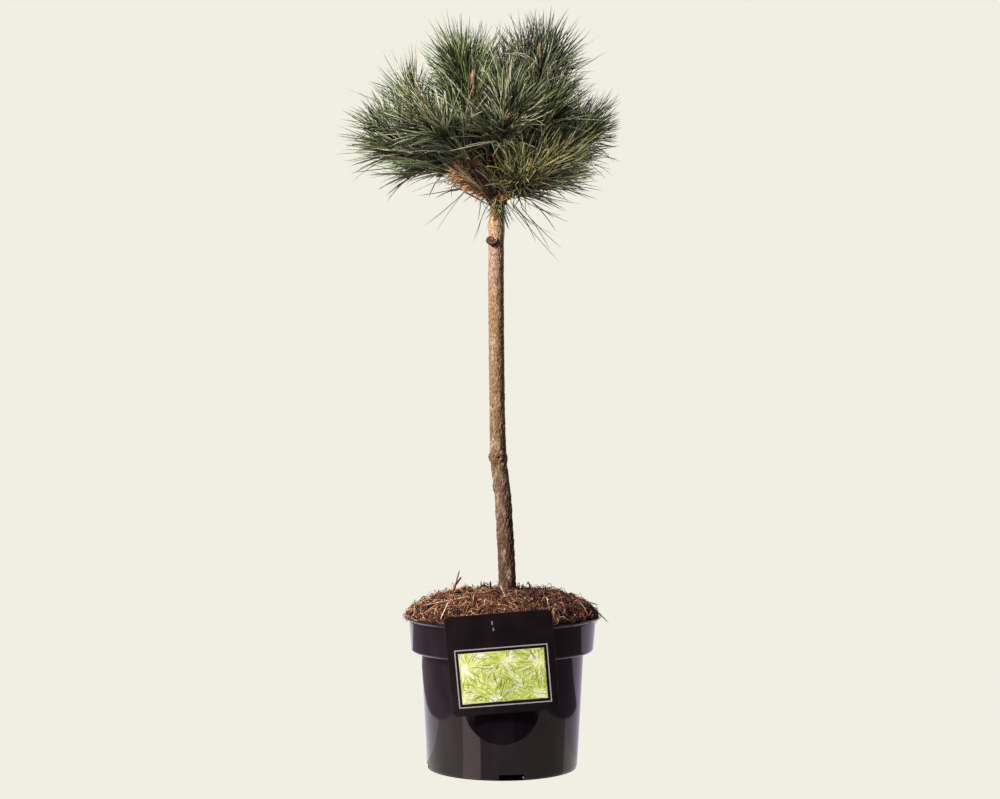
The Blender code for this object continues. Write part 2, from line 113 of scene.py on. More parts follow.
def add_piece(name, mesh, slot, replaced=()):
    """Adds a mesh to the plant, where it stands for the named solids."""
    piece = bpy.data.objects.new(name, mesh)
    plant.objects.link(piece)
    if slot == "needles":
        foliage.objects.link(piece)
    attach(piece, BODY)
    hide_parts(*replaced)
    return piece


def mesh_of(cage, name):
    """The mesh of a finished cage, which is then freed."""
    mesh = bpy.data.meshes.new(name)
    cage.to_mesh(mesh)
    cage.free()
    return mesh


def plain_finish(name, colour, roughness, gloss=0.5):
    """A finish with one colour all over."""
    material = bpy.data.materials.new(name)
    material.use_nodes = True
    shader = material.node_tree.nodes["Principled BSDF"]
    shader.inputs["Base Color"].default_value = (*colour, 1.0)
    shader.inputs["Roughness"].default_value = roughness
    shader.inputs["Specular IOR Level"].default_value = gloss
    return material


def triangle_mesh(name, points, corners, slots, finishes, smooth=True):
    """A mesh from arrays of points and of the three corners of each triangle."""
    mesh = bpy.data.meshes.new(name)
    mesh.vertices.add(len(points))
    mesh.vertices.foreach_set("co", np.asarray(points, dtype=np.float32).ravel())
    mesh.loops.add(3 * len(corners))
    mesh.loops.foreach_set("vertex_index", np.asarray(corners, dtype=np.int32).ravel())
    mesh.polygons.add(len(corners))
    mesh.polygons.foreach_set("loop_start", np.arange(0, 3 * len(corners), 3, dtype=np.int32))
    mesh.polygons.foreach_set("material_index", np.asarray(slots, dtype=np.int32))
    mesh.polygons.foreach_set("use_smooth", np.full(len(corners), smooth))
    for finish in finishes:
        mesh.materials.append(finish)
    mesh.update(calc_edges=True)
    return mesh


print("every piece rides on", BODY)


# %% [markdown]
# ## A pale studio with black boards
#
# The picture has a plain cream ground and no hard shadows, yet the plant itself is full of contrast. That
# comes from a bright wall behind, a small pale table and a dark room in front. The world gives the wall.
# The floor takes no light and glows with the same cream, so that it runs into the wall with no edge. Dark
# boards that the camera doesn't see stand for the room, dimmer on the right than on the left. A shaded part
# of the table and a bright strip on it give the pot's plastic something to mirror, and two lilac boards
# behind it give its pale edges. One soft lamp from the upper left is the main light, and it is linked to
# the plant alone. A wider one from the front brightens the needles only, so that the stem and the pot keep
# their dark sides.

# %% Light the studio
CREAM = (0.880, 0.855, 0.765)
ROOM_SIDE = 1.6
ROOM_FRONT = -3.0
ROOM_BACKS = (1.5, 0.9)
ROOM_HEIGHT = 3.0
TABLE_SIDE = 0.30
TABLE_FRONT = -0.33
TABLE_BACKS = (0.7, 0.25)
SHADE_BACK = 0.02
STRIP_TURNS = (math.radians(-30.0), math.radians(-16.0))
STRIP_ROOT = 0.086
STRIP_REACH = 0.34
BOARD_LIFT = 0.0015
FLOOR_SIZE = 12.0
NO_LIGHT = (0.0, 0.0, 0.0)
BLACK = (0.004, 0.004, 0.004)
DIM_ROOM = (1.0, 0.80, 0.96)
LEFT_GLOW = 0.34
RIGHT_GLOW = 0.17
FRONT_GLOW = 0.03
SHADE_GLOW = 0.50
STRIP_GLOW = 1.9
LILAC_SIDES = (0.098, 0.95)
LILAC_BACK = 1.7
LILAC_LIFT = 0.0008
LILAC_GLOWS = ((1.34, 1.28, 1.44), (0.78, 0.66, 0.85))
KEY_PLACE = (-1.50, -1.25, 1.60)
KEY_TARGET = (0.0, 0.0, 0.50)
KEY_SIZE = 0.5
KEY_POWER = 150.0
FILL_PLACE = (0.75, -2.30, 1.10)
FILL_TARGET = (0.0, 0.0, 0.75)
FILL_SIZE = 1.0
FILL_POWER = 60.0

world = bpy.data.worlds.new("studio")
world.use_nodes = True
world.node_tree.nodes["Background"].inputs["Color"].default_value = (*CREAM, 1.0)
world.node_tree.nodes["Background"].inputs["Strength"].default_value = 1.0
bpy.context.scene.world = world
bpy.context.scene.view_settings.view_transform = "Standard"


def board(name, corners, finish, seen):
    """A flat board of the studio, given by its corners."""
    mesh = bpy.data.meshes.new(name)
    mesh.from_pydata(corners, [], [range(len(corners))])
    mesh.materials.append(finish)
    obj = bpy.data.objects.new(name, mesh)
    obj.visible_camera = seen
    bpy.context.scene.collection.objects.link(obj)
    obj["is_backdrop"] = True
    return obj


def level_board(name, x0, x1, y0, y1, z, finish, seen=False):
    """A level rectangle at the height z."""
    return board(name, [(x0, y0, z), (x1, y0, z), (x1, y1, z), (x0, y1, z)], finish, seen)


def glowing(name, base, glow):
    """A rough finish that shines by itself a little."""
    finish = plain_finish(name, base, 1.0, 0.0)
    shader = finish.node_tree.nodes["Principled BSDF"]
    shader.inputs["Emission Color"].default_value = (*glow, 1.0)
    shader.inputs["Emission Strength"].default_value = 1.0
    return finish


def times(colour, share):
    """A colour made darker or brighter."""
    return tuple(channel * share for channel in colour)


floor_paper = glowing("floor_paper", NO_LIGHT, CREAM)
level_board("floor", -FLOOR_SIZE, FLOOR_SIZE, -FLOOR_SIZE, FLOOR_SIZE, 0.0, floor_paper, True)

black_cloth = plain_finish("black_cloth", BLACK, 1.0, 0.0)
left_cloth = glowing("left_cloth", BLACK, times(DIM_ROOM, LEFT_GLOW))
right_cloth = glowing("right_cloth", BLACK, times(DIM_ROOM, RIGHT_GLOW))
front_cloth = glowing("front_cloth", BLACK, times(DIM_ROOM, FRONT_GLOW))
for side, back, cloth in zip((-ROOM_SIDE, ROOM_SIDE), ROOM_BACKS, (left_cloth, right_cloth)):
    low = [(side, ROOM_FRONT, 0.0), (side, back, 0.0)]
    high = [(side, back, ROOM_HEIGHT), (side, ROOM_FRONT, ROOM_HEIGHT)]
    board("side_board", low + high, cloth, False)
low = [(-ROOM_SIDE, ROOM_FRONT, 0.0), (ROOM_SIDE, ROOM_FRONT, 0.0)]
high = [(ROOM_SIDE, ROOM_FRONT, ROOM_HEIGHT), (-ROOM_SIDE, ROOM_FRONT, ROOM_HEIGHT)]
board("front_board", low + high, front_cloth, False)
level_board("roof_board", -ROOM_SIDE, ROOM_SIDE, ROOM_FRONT, max(ROOM_BACKS), ROOM_HEIGHT, black_cloth)
level_board("dim_left", -ROOM_SIDE, -TABLE_SIDE, ROOM_FRONT, TABLE_BACKS[0], BOARD_LIFT, left_cloth)
level_board("dim_right", TABLE_SIDE, ROOM_SIDE, ROOM_FRONT, TABLE_BACKS[1], BOARD_LIFT, right_cloth)
level_board("dim_front", -TABLE_SIDE, TABLE_SIDE, ROOM_FRONT, TABLE_FRONT, BOARD_LIFT, front_cloth)
for side, glow in zip((-1.0, 1.0), LILAC_GLOWS):
    x0, x1 = sorted(side * reach for reach in LILAC_SIDES)
    lilac_paper = glowing("lilac_paper", BLACK, glow)
    lilac = level_board("lilac_board", x0, x1, SHADE_BACK, LILAC_BACK, LILAC_LIFT, lilac_paper)
    lilac.visible_diffuse = False
shade_paper = glowing("shade_paper", BLACK, times(CREAM, SHADE_GLOW))
strip_paper = glowing("strip_paper", BLACK, times(CREAM, STRIP_GLOW))


def table_place(turn, reach):
    """The place on the table that the pot mirrors at a turn from its front."""
    along = STRIP_ROOT * math.sin(turn) + reach * math.sin(2.0 * turn)
    before = STRIP_ROOT * math.cos(turn) + reach * math.cos(2.0 * turn)
    return along, -before, BOARD_LIFT


first, last = STRIP_TURNS
left_edge = [table_place(first, 0.0), table_place(first, STRIP_REACH)]
right_edge = [table_place(last, STRIP_REACH), table_place(last, 0.0)]
board("bright_strip", left_edge + right_edge, strip_paper, False)
front_corner = (TABLE_SIDE, TABLE_FRONT, BOARD_LIFT)
back_corner = (TABLE_SIDE, SHADE_BACK, BOARD_LIFT)
board("shaded_table", right_edge[::-1] + [front_corner, back_corner], shade_paper, False)


def soft_lamp(name, place, target, size, power, lit, mirrored=True):
    """A square lamp that looks at a target and lights only the pieces of one collection."""
    light = bpy.data.lights.new(name, "AREA")
    light.size = size
    light.energy = power
    lamp = bpy.data.objects.new(name, light)
    lamp.location = place
    lamp.rotation_euler = (Vector(target) - Vector(place)).to_track_quat("-Z", "Y").to_euler()
    lamp.visible_glossy = mirrored
    lamp.light_linking.receiver_collection = lit
    bpy.context.scene.collection.objects.link(lamp)


soft_lamp("key_lamp", KEY_PLACE, KEY_TARGET, KEY_SIZE, KEY_POWER, plant)
soft_lamp("fill_lamp", FILL_PLACE, FILL_TARGET, FILL_SIZE, FILL_POWER, foliage, mirrored=False)
print("lamps:", KEY_POWER, "and", FILL_POWER, "watts")

# %% [markdown]
# ## Strands
#
# Needles, papery scales, root fibres and straws are all the same thing to a modeller: a thin bent strand
# with a few sides and a point. Curve objects would do for ten of them, but not for ten thousand. So two
# functions work out all the strands of a piece at once with arrays: one lays their middle lines, and the
# other skins them.

# %% Lay and skin strands
STRAND_SIDES = 3


def normalised(vectors):
    """The vectors at length one. A vector of no length stays as it is."""
    return vectors / np.maximum(np.linalg.norm(vectors, axis=-1, keepdims=True), 1e-12)


def bent_lines(roots, ways, lengths, bends, shares):
    """Middle lines that leave their roots straight and bend more and more towards their tips."""
    reach = (ways * lengths[:, None])[:, None, :]
    shares = np.array(shares)[None, :, None]
    return roots[:, None, :] + reach * shares + bends[:, None, :] * shares**2


def tube_triangles(rings, sides):
    """The triangles between the rings of a tube, two for each of its faces."""
    corners = []
    for ring in range(rings - 1):
        for side in range(sides):
            a, b = ring * sides + side, ring * sides + (side + 1) % sides
            corners += [(a, b, b + sides), (a, b + sides, a + sides)]
    return corners


def strand_triangles(rings, sides):
    """The corners of one strand's triangles, with the ring that each starts from."""
    last = (rings - 1) * sides
    foot = [(0, side + 1, side) for side in range(1, sides - 1)]
    tip = [(last + side, last + (side + 1) % sides, last + sides) for side in range(sides)]
    corners = np.array(foot + tube_triangles(rings, sides) + tip)
    return corners, corners.min(axis=1) // sides


def skinned(lines, radii, widths, steady, flat=0.7):
    """Points and triangles of strands round their lines, and the ring of each triangle.

    There is a ring at each point of a line but its last, which is the strand's point. Widths are shares of
    the radius, one for each ring. The cross-section is flattened along the steady direction.
    """
    count, rings = lines.shape[0], lines.shape[1] - 1
    headings = normalised(np.gradient(lines, axis=1))[:, :rings]
    across = normalised(np.cross(headings, steady[:, None, :]))
    thick = np.cross(headings, across) * flat
    points = np.empty((count, rings * STRAND_SIDES + 1, 3))
    size = radii[:, None, None] * np.array(widths)[None, :, None]
    for side in range(STRAND_SIDES):
        turn = math.tau * side / STRAND_SIDES
        offsets = (across * math.cos(turn) + thick * math.sin(turn)) * size
        points[:, side:-1:STRAND_SIDES] = lines[:, :rings] + offsets
    points[:, -1] = lines[:, -1]
    corners, ring_of = strand_triangles(rings, STRAND_SIDES)
    shift = np.arange(count)[:, None, None] * (rings * STRAND_SIDES + 1)
    return points.reshape(-1, 3), (corners[None] + shift).reshape(-1, 3), np.tile(ring_of, count)


def dealt(mix, count, draw):
    """One slot for each of count things, drawn by the weights of a mix."""
    weights = np.array(list(mix.values()), dtype=float)
    return draw.choice(np.array(list(mix)), size=count, p=weights / weights.sum())


def strand_piece(name, slot, strands, colours, finishes, smooth=True):
    """A piece of many strands or grains of one kind, with one of the finishes for each."""
    points, corners, _ = strands
    slots = np.repeat(colours, len(corners) // len(colours))
    return add_piece(name, triangle_mesh(name, points, corners, slots, finishes, smooth), slot)


print("triangles in a strand of five rings:", len(strand_triangles(5, STRAND_SIDES)[0]))


# %% [markdown]
# ## Limbs with bark
#
# The stem and the boughs are tubes whose skin has relief. A displaced texture would need many faces
# everywhere and follows no scar, so the relief is worked out where the rings of the tube are laid. A cell
# pattern that is stretched along the limb gives the flaking plates. What lies deep is also written to the
# mesh as an attribute, so that the finish can darken the cracks just where they are.

# %% Sweep a limb with relief
CRACK_SHARPNESS = 3.0


def limb_frames(points):
    """For each point of a limb, two directions square to it that don't twist along the limb."""
    headings = [(b - a).normalized() for a, b in zip(points, points[1:])]
    headings.append(headings[-1])
    side = headings[0].orthogonal().normalized()
    frames = []
    for heading in headings:
        side = (side - heading * side.dot(heading)).normalized()
        frames.append((side, heading.cross(side)))
    return frames


def plates(place, size, stretch):
    """How far inside a bark plate a place is: 0 in a crack, 1 on the plate."""
    cell = Vector((place.x / size, place.y / size, place.z / (size * stretch)))
    distances = noise.voronoi(cell)[0]
    return min(1.0, (distances[1] - distances[0]) * CRACK_SHARPNESS)


def swept_limb(points, radii, sides, relief):
    """Points, triangles and grooves of a closed tube. relief(place, outwards) gives (lift, groove)."""
    skin, grooves = [], []
    for point, radius, (side, other) in zip(points, radii, limb_frames(points)):
        for k in range(sides):
            turn = math.tau * k / sides
            outwards = side * math.cos(turn) + other * math.sin(turn)
            lift, groove = relief(point + outwards * radius, outwards)
            skin.append(point + outwards * (radius + lift))
            grooves.append(groove)
    corners = tube_triangles(len(points), sides)
    for ring, order in ((0, -1), (len(points) - 1, 1)):
        for k in range(sides):
            pair = (ring * sides + k, ring * sides + (k + 1) % sides)[::order]
            corners.append((*pair, len(skin)))
        skin.append(points[ring])
        grooves.append(0.5)
    return np.array(skin), np.array(corners), np.array(grooves)


def join_parts(parts):
    """Several (points, triangles, values) as one."""
    starts = np.cumsum([0] + [len(part[0]) for part in parts])
    points = np.concatenate([part[0] for part in parts])
    corners = np.concatenate([part[1] + start for part, start in zip(parts, starts)])
    return points, corners, np.concatenate([part[2] for part in parts])


def groove_mesh(name, parts, finishes, slots=None):
    """One mesh of several limbs that carries its grooves as an attribute."""
    points, corners, grooves = join_parts(parts)
    if slots is None:
        slots = np.zeros(len(corners))
    mesh = triangle_mesh(name, points, corners, slots, finishes)
    mesh.attributes.new("groove", "FLOAT", "POINT").data.foreach_set("value", grooves.astype(np.float32))
    return mesh


print("crack sharpness:", CRACK_SHARPNESS)


# %% [markdown]
# ## The finish of the bark
#
# The bark changes with height: grey-brown and rough near the ground, tan with dark flecks half way up, and
# thin and golden under the crown, where the ramp is also brighter as painted light on the stem's top that the
# crown shades. One ramp along the height gives these colours. Noise that is stretched along the stem adds
# paler patches and dark flecks, and the groove attribute darkens the cracks.

# %% Mix the bark
def node_chain(material):
    """The nodes, links and main shader of a new material."""
    material.use_nodes = True
    tree = material.node_tree
    return tree.nodes, tree.links, tree.nodes["Principled BSDF"]


def add_ramp(nodes, links, source, stops):
    """A colour ramp on a value, and the socket of its colour."""
    node = nodes.new("ShaderNodeValToRGB")
    elements = node.color_ramp.elements
    while len(elements) < len(stops):
        elements.new(0.5)
    for element, (place, colour) in zip(elements, stops):
        element.position = place
        element.color = (*colour, 1.0)
    links.new(source, node.inputs["Fac"])
    return node.outputs["Color"]


def add_noise(nodes, links, place, scale, detail=4.0, stretch=(1.0, 1.0, 1.0)):
    """Noise on the object's own coordinates, stretched along the axes."""
    mapping = nodes.new("ShaderNodeMapping")
    mapping.inputs["Scale"].default_value = stretch
    texture = nodes.new("ShaderNodeTexNoise")
    texture.inputs["Scale"].default_value = scale
    texture.inputs["Detail"].default_value = detail
    links.new(place.outputs["Object"], mapping.inputs["Vector"])
    links.new(mapping.outputs["Vector"], texture.inputs["Vector"])
    return texture.outputs["Fac"]


def add_height(nodes, links, place, low, high):
    """A value that goes from 0 to 1 between two heights."""
    axes = nodes.new("ShaderNodeSeparateXYZ")
    links.new(place.outputs["Object"], axes.inputs["Vector"])
    height = nodes.new("ShaderNodeMapRange")
    height.inputs["From Min"].default_value = low
    height.inputs["From Max"].default_value = high
    links.new(axes.outputs["Z"], height.inputs["Value"])
    return height.outputs["Result"]


def mix_colours(nodes, links, amount, first, second, way="MIX"):
    """Two colours mixed by an amount. Each of the three may be a value or a socket."""
    mix = nodes.new("ShaderNodeMix")
    mix.data_type = "RGBA"
    mix.blend_type = way
    if isinstance(amount, float):
        mix.inputs["Factor"].default_value = amount
    else:
        links.new(amount, mix.inputs["Factor"])
    for value, socket in ((first, mix.inputs[6]), (second, mix.inputs[7])):
        if isinstance(value, tuple):
            socket.default_value = (*value, 1.0)
        else:
            links.new(value, socket)
    return mix.outputs[2]


def add_bump(nodes, links, shader, height, strength, distance):
    """A bump on the shader, from a socket that gives its height."""
    bump = nodes.new("ShaderNodeBump")
    bump.inputs["Strength"].default_value = strength
    bump.inputs["Distance"].default_value = distance
    links.new(height, bump.inputs["Height"])
    links.new(bump.outputs["Normal"], shader.inputs["Normal"])


def mottled_finish(name, scale, detail, stops, roughness, gloss=0.5, bump=None):
    """A finish whose colour follows noise. The bump, if any, is its strength and its height."""
    material = bpy.data.materials.new(name)
    nodes, links, shader = node_chain(material)
    mottle = add_noise(nodes, links, nodes.new("ShaderNodeTexCoord"), scale, detail)
    links.new(add_ramp(nodes, links, mottle, stops), shader.inputs["Base Color"])
    shader.inputs["Roughness"].default_value = roughness
    shader.inputs["Specular IOR Level"].default_value = gloss
    if bump:
        add_bump(nodes, links, shader, mottle, *bump)
    return material


BARK_LOW, BARK_HIGH = 0.20, 0.72
BARK_ROUGHNESS = 0.82
BARK_GLOSS = 0.25
BARK_BUMP = (0.8, 0.0009)
ALONG_LIMB = (1.0, 1.0, 0.40)
WHITE = (1.0, 1.0, 1.0)
PATCH_SCALE = 130.0
PATCH_SHARE = 0.55
FLECK_SCALE = 760.0
FLECK_SHARE = 0.95


def bark_finish(name, heights, patch, fleck, crack):
    """Bark whose colour follows the height, with paler patches, dark flecks and darker cracks."""
    material = bpy.data.materials.new(name)
    nodes, links, shader = node_chain(material)
    place = nodes.new("ShaderNodeTexCoord")
    span = BARK_HIGH - BARK_LOW
    stops = [((z - BARK_LOW) / span, colour) for z, colour in heights]
    colour = add_ramp(nodes, links, add_height(nodes, links, place, BARK_LOW, BARK_HIGH), stops)
    patches = add_noise(nodes, links, place, PATCH_SCALE, 4.0, ALONG_LIMB)
    patch_share = add_ramp(nodes, links, patches, [(0.50, NO_LIGHT), (0.68, (PATCH_SHARE,) * 3)])
    colour = mix_colours(nodes, links, patch_share, colour, patch)
    flecks = add_noise(nodes, links, place, FLECK_SCALE, 3.0, ALONG_LIMB)
    fleck_colour = add_ramp(nodes, links, flecks, [(0.40, fleck), (0.50, WHITE)])
    colour = mix_colours(nodes, links, FLECK_SHARE, colour, fleck_colour, "MULTIPLY")
    groove = nodes.new("ShaderNodeAttribute")
    groove.attribute_name = "groove"
    crack_colour = add_ramp(nodes, links, groove.outputs["Fac"], [(0.0, WHITE), (1.0, crack)])
    colour = mix_colours(nodes, links, 1.0, colour, crack_colour, "MULTIPLY")
    links.new(colour, shader.inputs["Base Color"])
    shader.inputs["Roughness"].default_value = BARK_ROUGHNESS
    shader.inputs["Specular IOR Level"].default_value = BARK_GLOSS
    add_bump(nodes, links, shader, flecks, *BARK_BUMP)
    return material


# The bright stop at 0.62 is partly the thin golden bark and partly painted light on the stem's top under the
# crown.
STEM_COLOURS = (
    (0.20, (0.150, 0.080, 0.046)),
    (0.34, (0.230, 0.140, 0.080)),
    (0.42, (0.320, 0.200, 0.100)),
    (0.54, (0.380, 0.225, 0.115)),
    (0.585, (0.450, 0.290, 0.200)),
    (0.62, (0.580, 0.370, 0.190)),
    (0.70, (0.400, 0.220, 0.100)),
)
stem_bark = bark_finish(
    "stem_bark",
    STEM_COLOURS,
    patch=(0.680, 0.490, 0.320),
    fleck=(0.42, 0.32, 0.26),
    crack=(0.18, 0.12, 0.10),
)
print("bark colours:", len(STEM_COLOURS))

# %% [markdown]
# ## The stem
#
# The stem runs from the soil to a thin leader inside the crown. It leans a little and has a kink at the
# whorl of old knots where its first side shoots were cut off. Its line is given by a few stations, and the
# finer rings between them are interpolated. Knots are soft bumps added to the relief, with a dark crease
# round each, and the largest has a hole where the dead wood has fallen out.

# %% Describe the stem's line
SOIL_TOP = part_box("soil")[1][2]
ROOT_DEPTH = 0.0080
STEM_FOOT = SOIL_TOP - ROOT_DEPTH
# Each station has a height, how far the stem's middle is to the right there, and the stem's radius.
STEM_STATIONS = (
    (STEM_FOOT, 0.0059, 0.0104),
    (0.2180, 0.0059, 0.0103),
    (0.2600, 0.0042, 0.0101),
    (0.3100, 0.0012, 0.0099),
    (0.3570, -0.0044, 0.0098),
    (0.4070, -0.0055, 0.0092),
    (0.4960, -0.0065, 0.0092),
    (0.5470, -0.0069, 0.0094),
    (0.6000, -0.0068, 0.0092),
    (0.6380, -0.0058, 0.0086),
    (0.6600, -0.0048, 0.0082),
    (0.6850, -0.0040, 0.0060),
    (0.7160, -0.0030, 0.0042),
)
FLARE_EXTRA = 0.0016
FLARE_FADE = 0.008
STEM_TIP = STEM_STATIONS[-1][0]


def stem_place(height):
    """The middle of the stem at a height."""
    heights, sideways, _ = zip(*STEM_STATIONS)
    return Vector((float(np.interp(height, heights, sideways)), 0.0, height))


def stem_radius(height):
    """The stem's radius at a height, with the flare at its foot."""
    heights, _, radii = zip(*STEM_STATIONS)
    flare = FLARE_EXTRA * math.exp(-(height - SOIL_TOP) / FLARE_FADE)
    return float(np.interp(height, heights, radii)) + flare


def direction(azimuth, rise):
    """The unit vector at an azimuth and an angle of rise, both in radians."""
    level = math.cos(rise)
    return Vector((level * math.cos(azimuth), level * math.sin(azimuth), math.sin(rise)))


print("stem from", round(STEM_FOOT, 4), "to", STEM_TIP)

# %% Lay the stem's bark
# Each knot has a height, an azimuth in degrees, a size, and how much of it is a hole.
KNOTS = (
    (0.357, 183, 0.0042, 0.0),
    (0.360, 300, 0.0050, 0.0),
    (0.357, 276, 0.0034, 1.0),
    (0.353, 238, 0.0040, 0.0),
    (0.356, 20, 0.0046, 0.0),
    (0.356, 90, 0.0042, 0.3),
    (0.322, 190, 0.0032, 0.3),
    (0.588, 120, 0.0034, 0.0),
)
KNOT_REACH = 3.0
KNOT_TALL = 1.1
KNOT_RISE = 0.0025
HOLE_DEPTH = 0.0044
HOLE_SHARPNESS = 5.0
HOLE_SHADE = 4.0
CREASE_RADIUS = 0.8
CREASE_LIFT = 0.4
CREASE_SHARPNESS = 4.5
# The crease is dark above this share of the knot's size below its middle, and paler under it.
CREASE_BREAK = 0.2
CREASE_ABOVE = 0.9
CREASE_BELOW = 0.35
COLLAR_HEIGHT = 0.6220
COLLAR_AZIMUTH = math.radians(215.0)
COLLAR_SIZE = 0.0100
COLLAR_RISE = 0.0014
STEM_SIDES = 72
STEM_RING_STEP = 0.0011
ROUGH_BELOW = 0.46
ROUGH_SPAN = 0.20
COARSE_PLATES = (0.0042, 2.6)
FINE_PLATES = (0.0021, 1.9)
ROUGH_LIFT = 0.0008
YOUNG_ROUGH = 0.4
AGED_ROUGH = 0.7
YOUNG_GROOVE = 0.35
AGED_GROOVE = 0.35
FINE_GROOVE = 0.45
CREASE_GROOVE = 0.95
FINE_LIFT = 0.0004
SWELL = 0.0004
SWELL_SCALE = 75.0
CREASE_DEPTH = 0.0006


def knot_bump(place, outwards):
    """The swelling and the dark crease that old branch scars add at a place."""
    lift, crease = 0.0, 0.0
    for height, azimuth, size, hole in KNOTS:
        up = place.z - height
        if abs(up) > KNOT_REACH * size:
            continue
        way = direction(math.radians(azimuth), 0.0)
        across = math.acos(max(-1.0, min(1.0, outwards.dot(way)))) * stem_radius(height)
        spread = (across / size) ** 2 + (up / (size * KNOT_TALL)) ** 2
        lift += KNOT_RISE * math.exp(-spread) - hole * HOLE_DEPTH * math.exp(-HOLE_SHARPNESS * spread)
        ring = math.sqrt((across / size) ** 2 + ((up - size * CREASE_LIFT) / size) ** 2)
        shade = CREASE_ABOVE if up > -size * CREASE_BREAK else CREASE_BELOW
        crease += math.exp(-(((ring - CREASE_RADIUS) * CREASE_SHARPNESS) ** 2)) * shade
        # The hole is darkened as well, as painted shade inside it.
        crease += hole * math.exp(-HOLE_SHADE * spread)
    return lift, min(crease, 1.0)


def collar_swell(place, outwards):
    """How far the stem swells where the cut branch left it."""
    turn = math.acos(max(-1.0, min(1.0, outwards.dot(direction(COLLAR_AZIMUTH, 0.0)))))
    across, up = turn * stem_radius(place.z), place.z - COLLAR_HEIGHT
    return COLLAR_RISE * math.exp(-((across / COLLAR_SIZE) ** 2 + (up / COLLAR_SIZE) ** 2))


def stem_relief(place, outwards):
    """Flaking bark, coarser near the ground, with the knots' bumps and the stub's collar."""
    age = max(0.0, min(1.0, (ROUGH_BELOW - place.z) / ROUGH_SPAN))
    coarse = plates(place, *COARSE_PLATES)
    fine = plates(place, *FINE_PLATES)
    knot, crease = knot_bump(place, outwards)
    rough = ROUGH_LIFT * (YOUNG_ROUGH + AGED_ROUGH * age)
    lift = rough * (coarse - 1.0) + FINE_LIFT * (fine - 1.0)
    swell = SWELL * noise.noise(place * SWELL_SCALE) + knot + collar_swell(place, outwards)
    lift += swell - CREASE_DEPTH * crease
    coarse_groove = (1.0 - coarse) * (YOUNG_GROOVE + AGED_GROOVE * age)
    return lift, max(coarse_groove, FINE_GROOVE * (1.0 - fine), CREASE_GROOVE * crease)


ring_count = int((STEM_TIP - STEM_FOOT) / STEM_RING_STEP)
heights = [STEM_FOOT + (STEM_TIP - STEM_FOOT) * i / ring_count for i in range(ring_count + 1)]
middles = [stem_place(height) for height in heights]
radii = [stem_radius(height) for height in heights]
stem_part = swept_limb(middles, radii, STEM_SIDES, stem_relief)
add_piece("bark_stem", groove_mesh("bark_stem", [stem_part], [stem_bark]), "bark", ["stem"])
print("stem rings:", len(heights))

# %% [markdown]
# ## The pruned stub
#
# Just under the crown a thick side branch was cut off at a slant. The branch left the stem almost level,
# and the cut slopes back up to the bark, so only its lower lip stands out. The stub is one tube whose rings
# lean more and more until they lie in the plane of the cut. The last ones turn inwards and make the face,
# where rings of darker and paler wood lie round a pith that is above the middle.

# %% Cut the stub
STUB_HEIGHT = 0.6046
STUB_AZIMUTH = math.radians(243.0)
STUB_RISE = math.radians(12.0)
CUT_AZIMUTH = math.radians(278.0)
CUT_RISE = math.radians(32.0)
STUB_RADIUS = 0.0058
STUB_LENGTH = 0.0126
STUB_SIDES = 56
STUB_GRAIN = 520.0
STUB_ROUGHNESS = 0.00022
STUB_GROOVE = 0.5
STUB_GROOVE_SPREAD = 0.3
# Each ring has a share of the stub's length, a share of its radius, and how far it moves up towards the pith.
STUB_RINGS = (
    (0.00, 0.90, 0.0),
    (0.45, 0.98, 0.0),
    (0.75, 1.04, 0.0),
    (0.90, 1.06, 0.0),
    (0.98, 1.02, 0.0),
    (1.00, 0.95, 0.0),
    (0.98, 0.89, 0.0),
    (0.95, 0.84, 0.0),
    (0.96, 0.66, 0.06),
    (0.93, 0.46, 0.16),
    (0.96, 0.26, 0.26),
    (0.95, 0.12, 0.30),
)
STUB_FACE_RING = 7
# The slot of the wood's finish, from each ring of the face inwards.
FACE_WOODS = {7: 1, 8: 1, 9: 2, 10: 3, 11: 3}
CUT_WOODS = (
    ("cut_wood", (0.040, 0.018, 0.014), (0.125, 0.058, 0.040)),
    ("cut_wood_dark", (0.014, 0.006, 0.006), (0.050, 0.022, 0.017)),
    ("cut_wood_pith", (0.090, 0.042, 0.026), (0.270, 0.140, 0.085)),
)
cut_woods = [
    mottled_finish(name, 800.0, 4.0, [(0.35, dark), (0.68, light)], 0.9, bump=(0.4, 0.0005))
    for name, dark, light in CUT_WOODS
]
stub_way = direction(STUB_AZIMUTH, STUB_RISE)
cut_way = direction(CUT_AZIMUTH, CUT_RISE)
side = stub_way.cross(Vector((0.0, 0.0, 1.0))).normalized()
upwards = side.cross(stub_way)
skin, grooves = [], []
for ring, (share, width, pith) in enumerate(STUB_RINGS):
    point = stem_place(STUB_HEIGHT) + stub_way * (STUB_LENGTH * share)
    lean = min(1.0, ring / (STUB_FACE_RING - 1))
    for k in range(STUB_SIDES):
        turn = math.tau * k / STUB_SIDES
        outwards = side * math.cos(turn) + upwards * math.sin(turn)
        away = (outwards * width + upwards * pith) * STUB_RADIUS
        spot = point + away - stub_way * (lean * away.dot(cut_way) / stub_way.dot(cut_way))
        rough = noise.noise(spot * STUB_GRAIN)
        skin.append(spot + outwards * (STUB_ROUGHNESS * rough))
        grooves.append(STUB_GROOVE + STUB_GROOVE_SPREAD * rough)
corners = tube_triangles(len(STUB_RINGS), STUB_SIDES)
last = (len(STUB_RINGS) - 1) * STUB_SIDES
for k in range(STUB_SIDES):
    corners.append((last + k, last + (k + 1) % STUB_SIDES, len(skin)))
    corners.append(((k + 1) % STUB_SIDES, k, len(skin) + 1))
face_middle = sum(skin[-STUB_SIDES:], Vector()) / STUB_SIDES
skin += [face_middle, stem_place(STUB_HEIGHT)]
grooves += [1.0, 1.0]
slots = [FACE_WOODS.get(min(triangle) // STUB_SIDES, 0) for triangle in corners]
stub_part = (np.array(skin), np.array(corners), np.array(grooves))
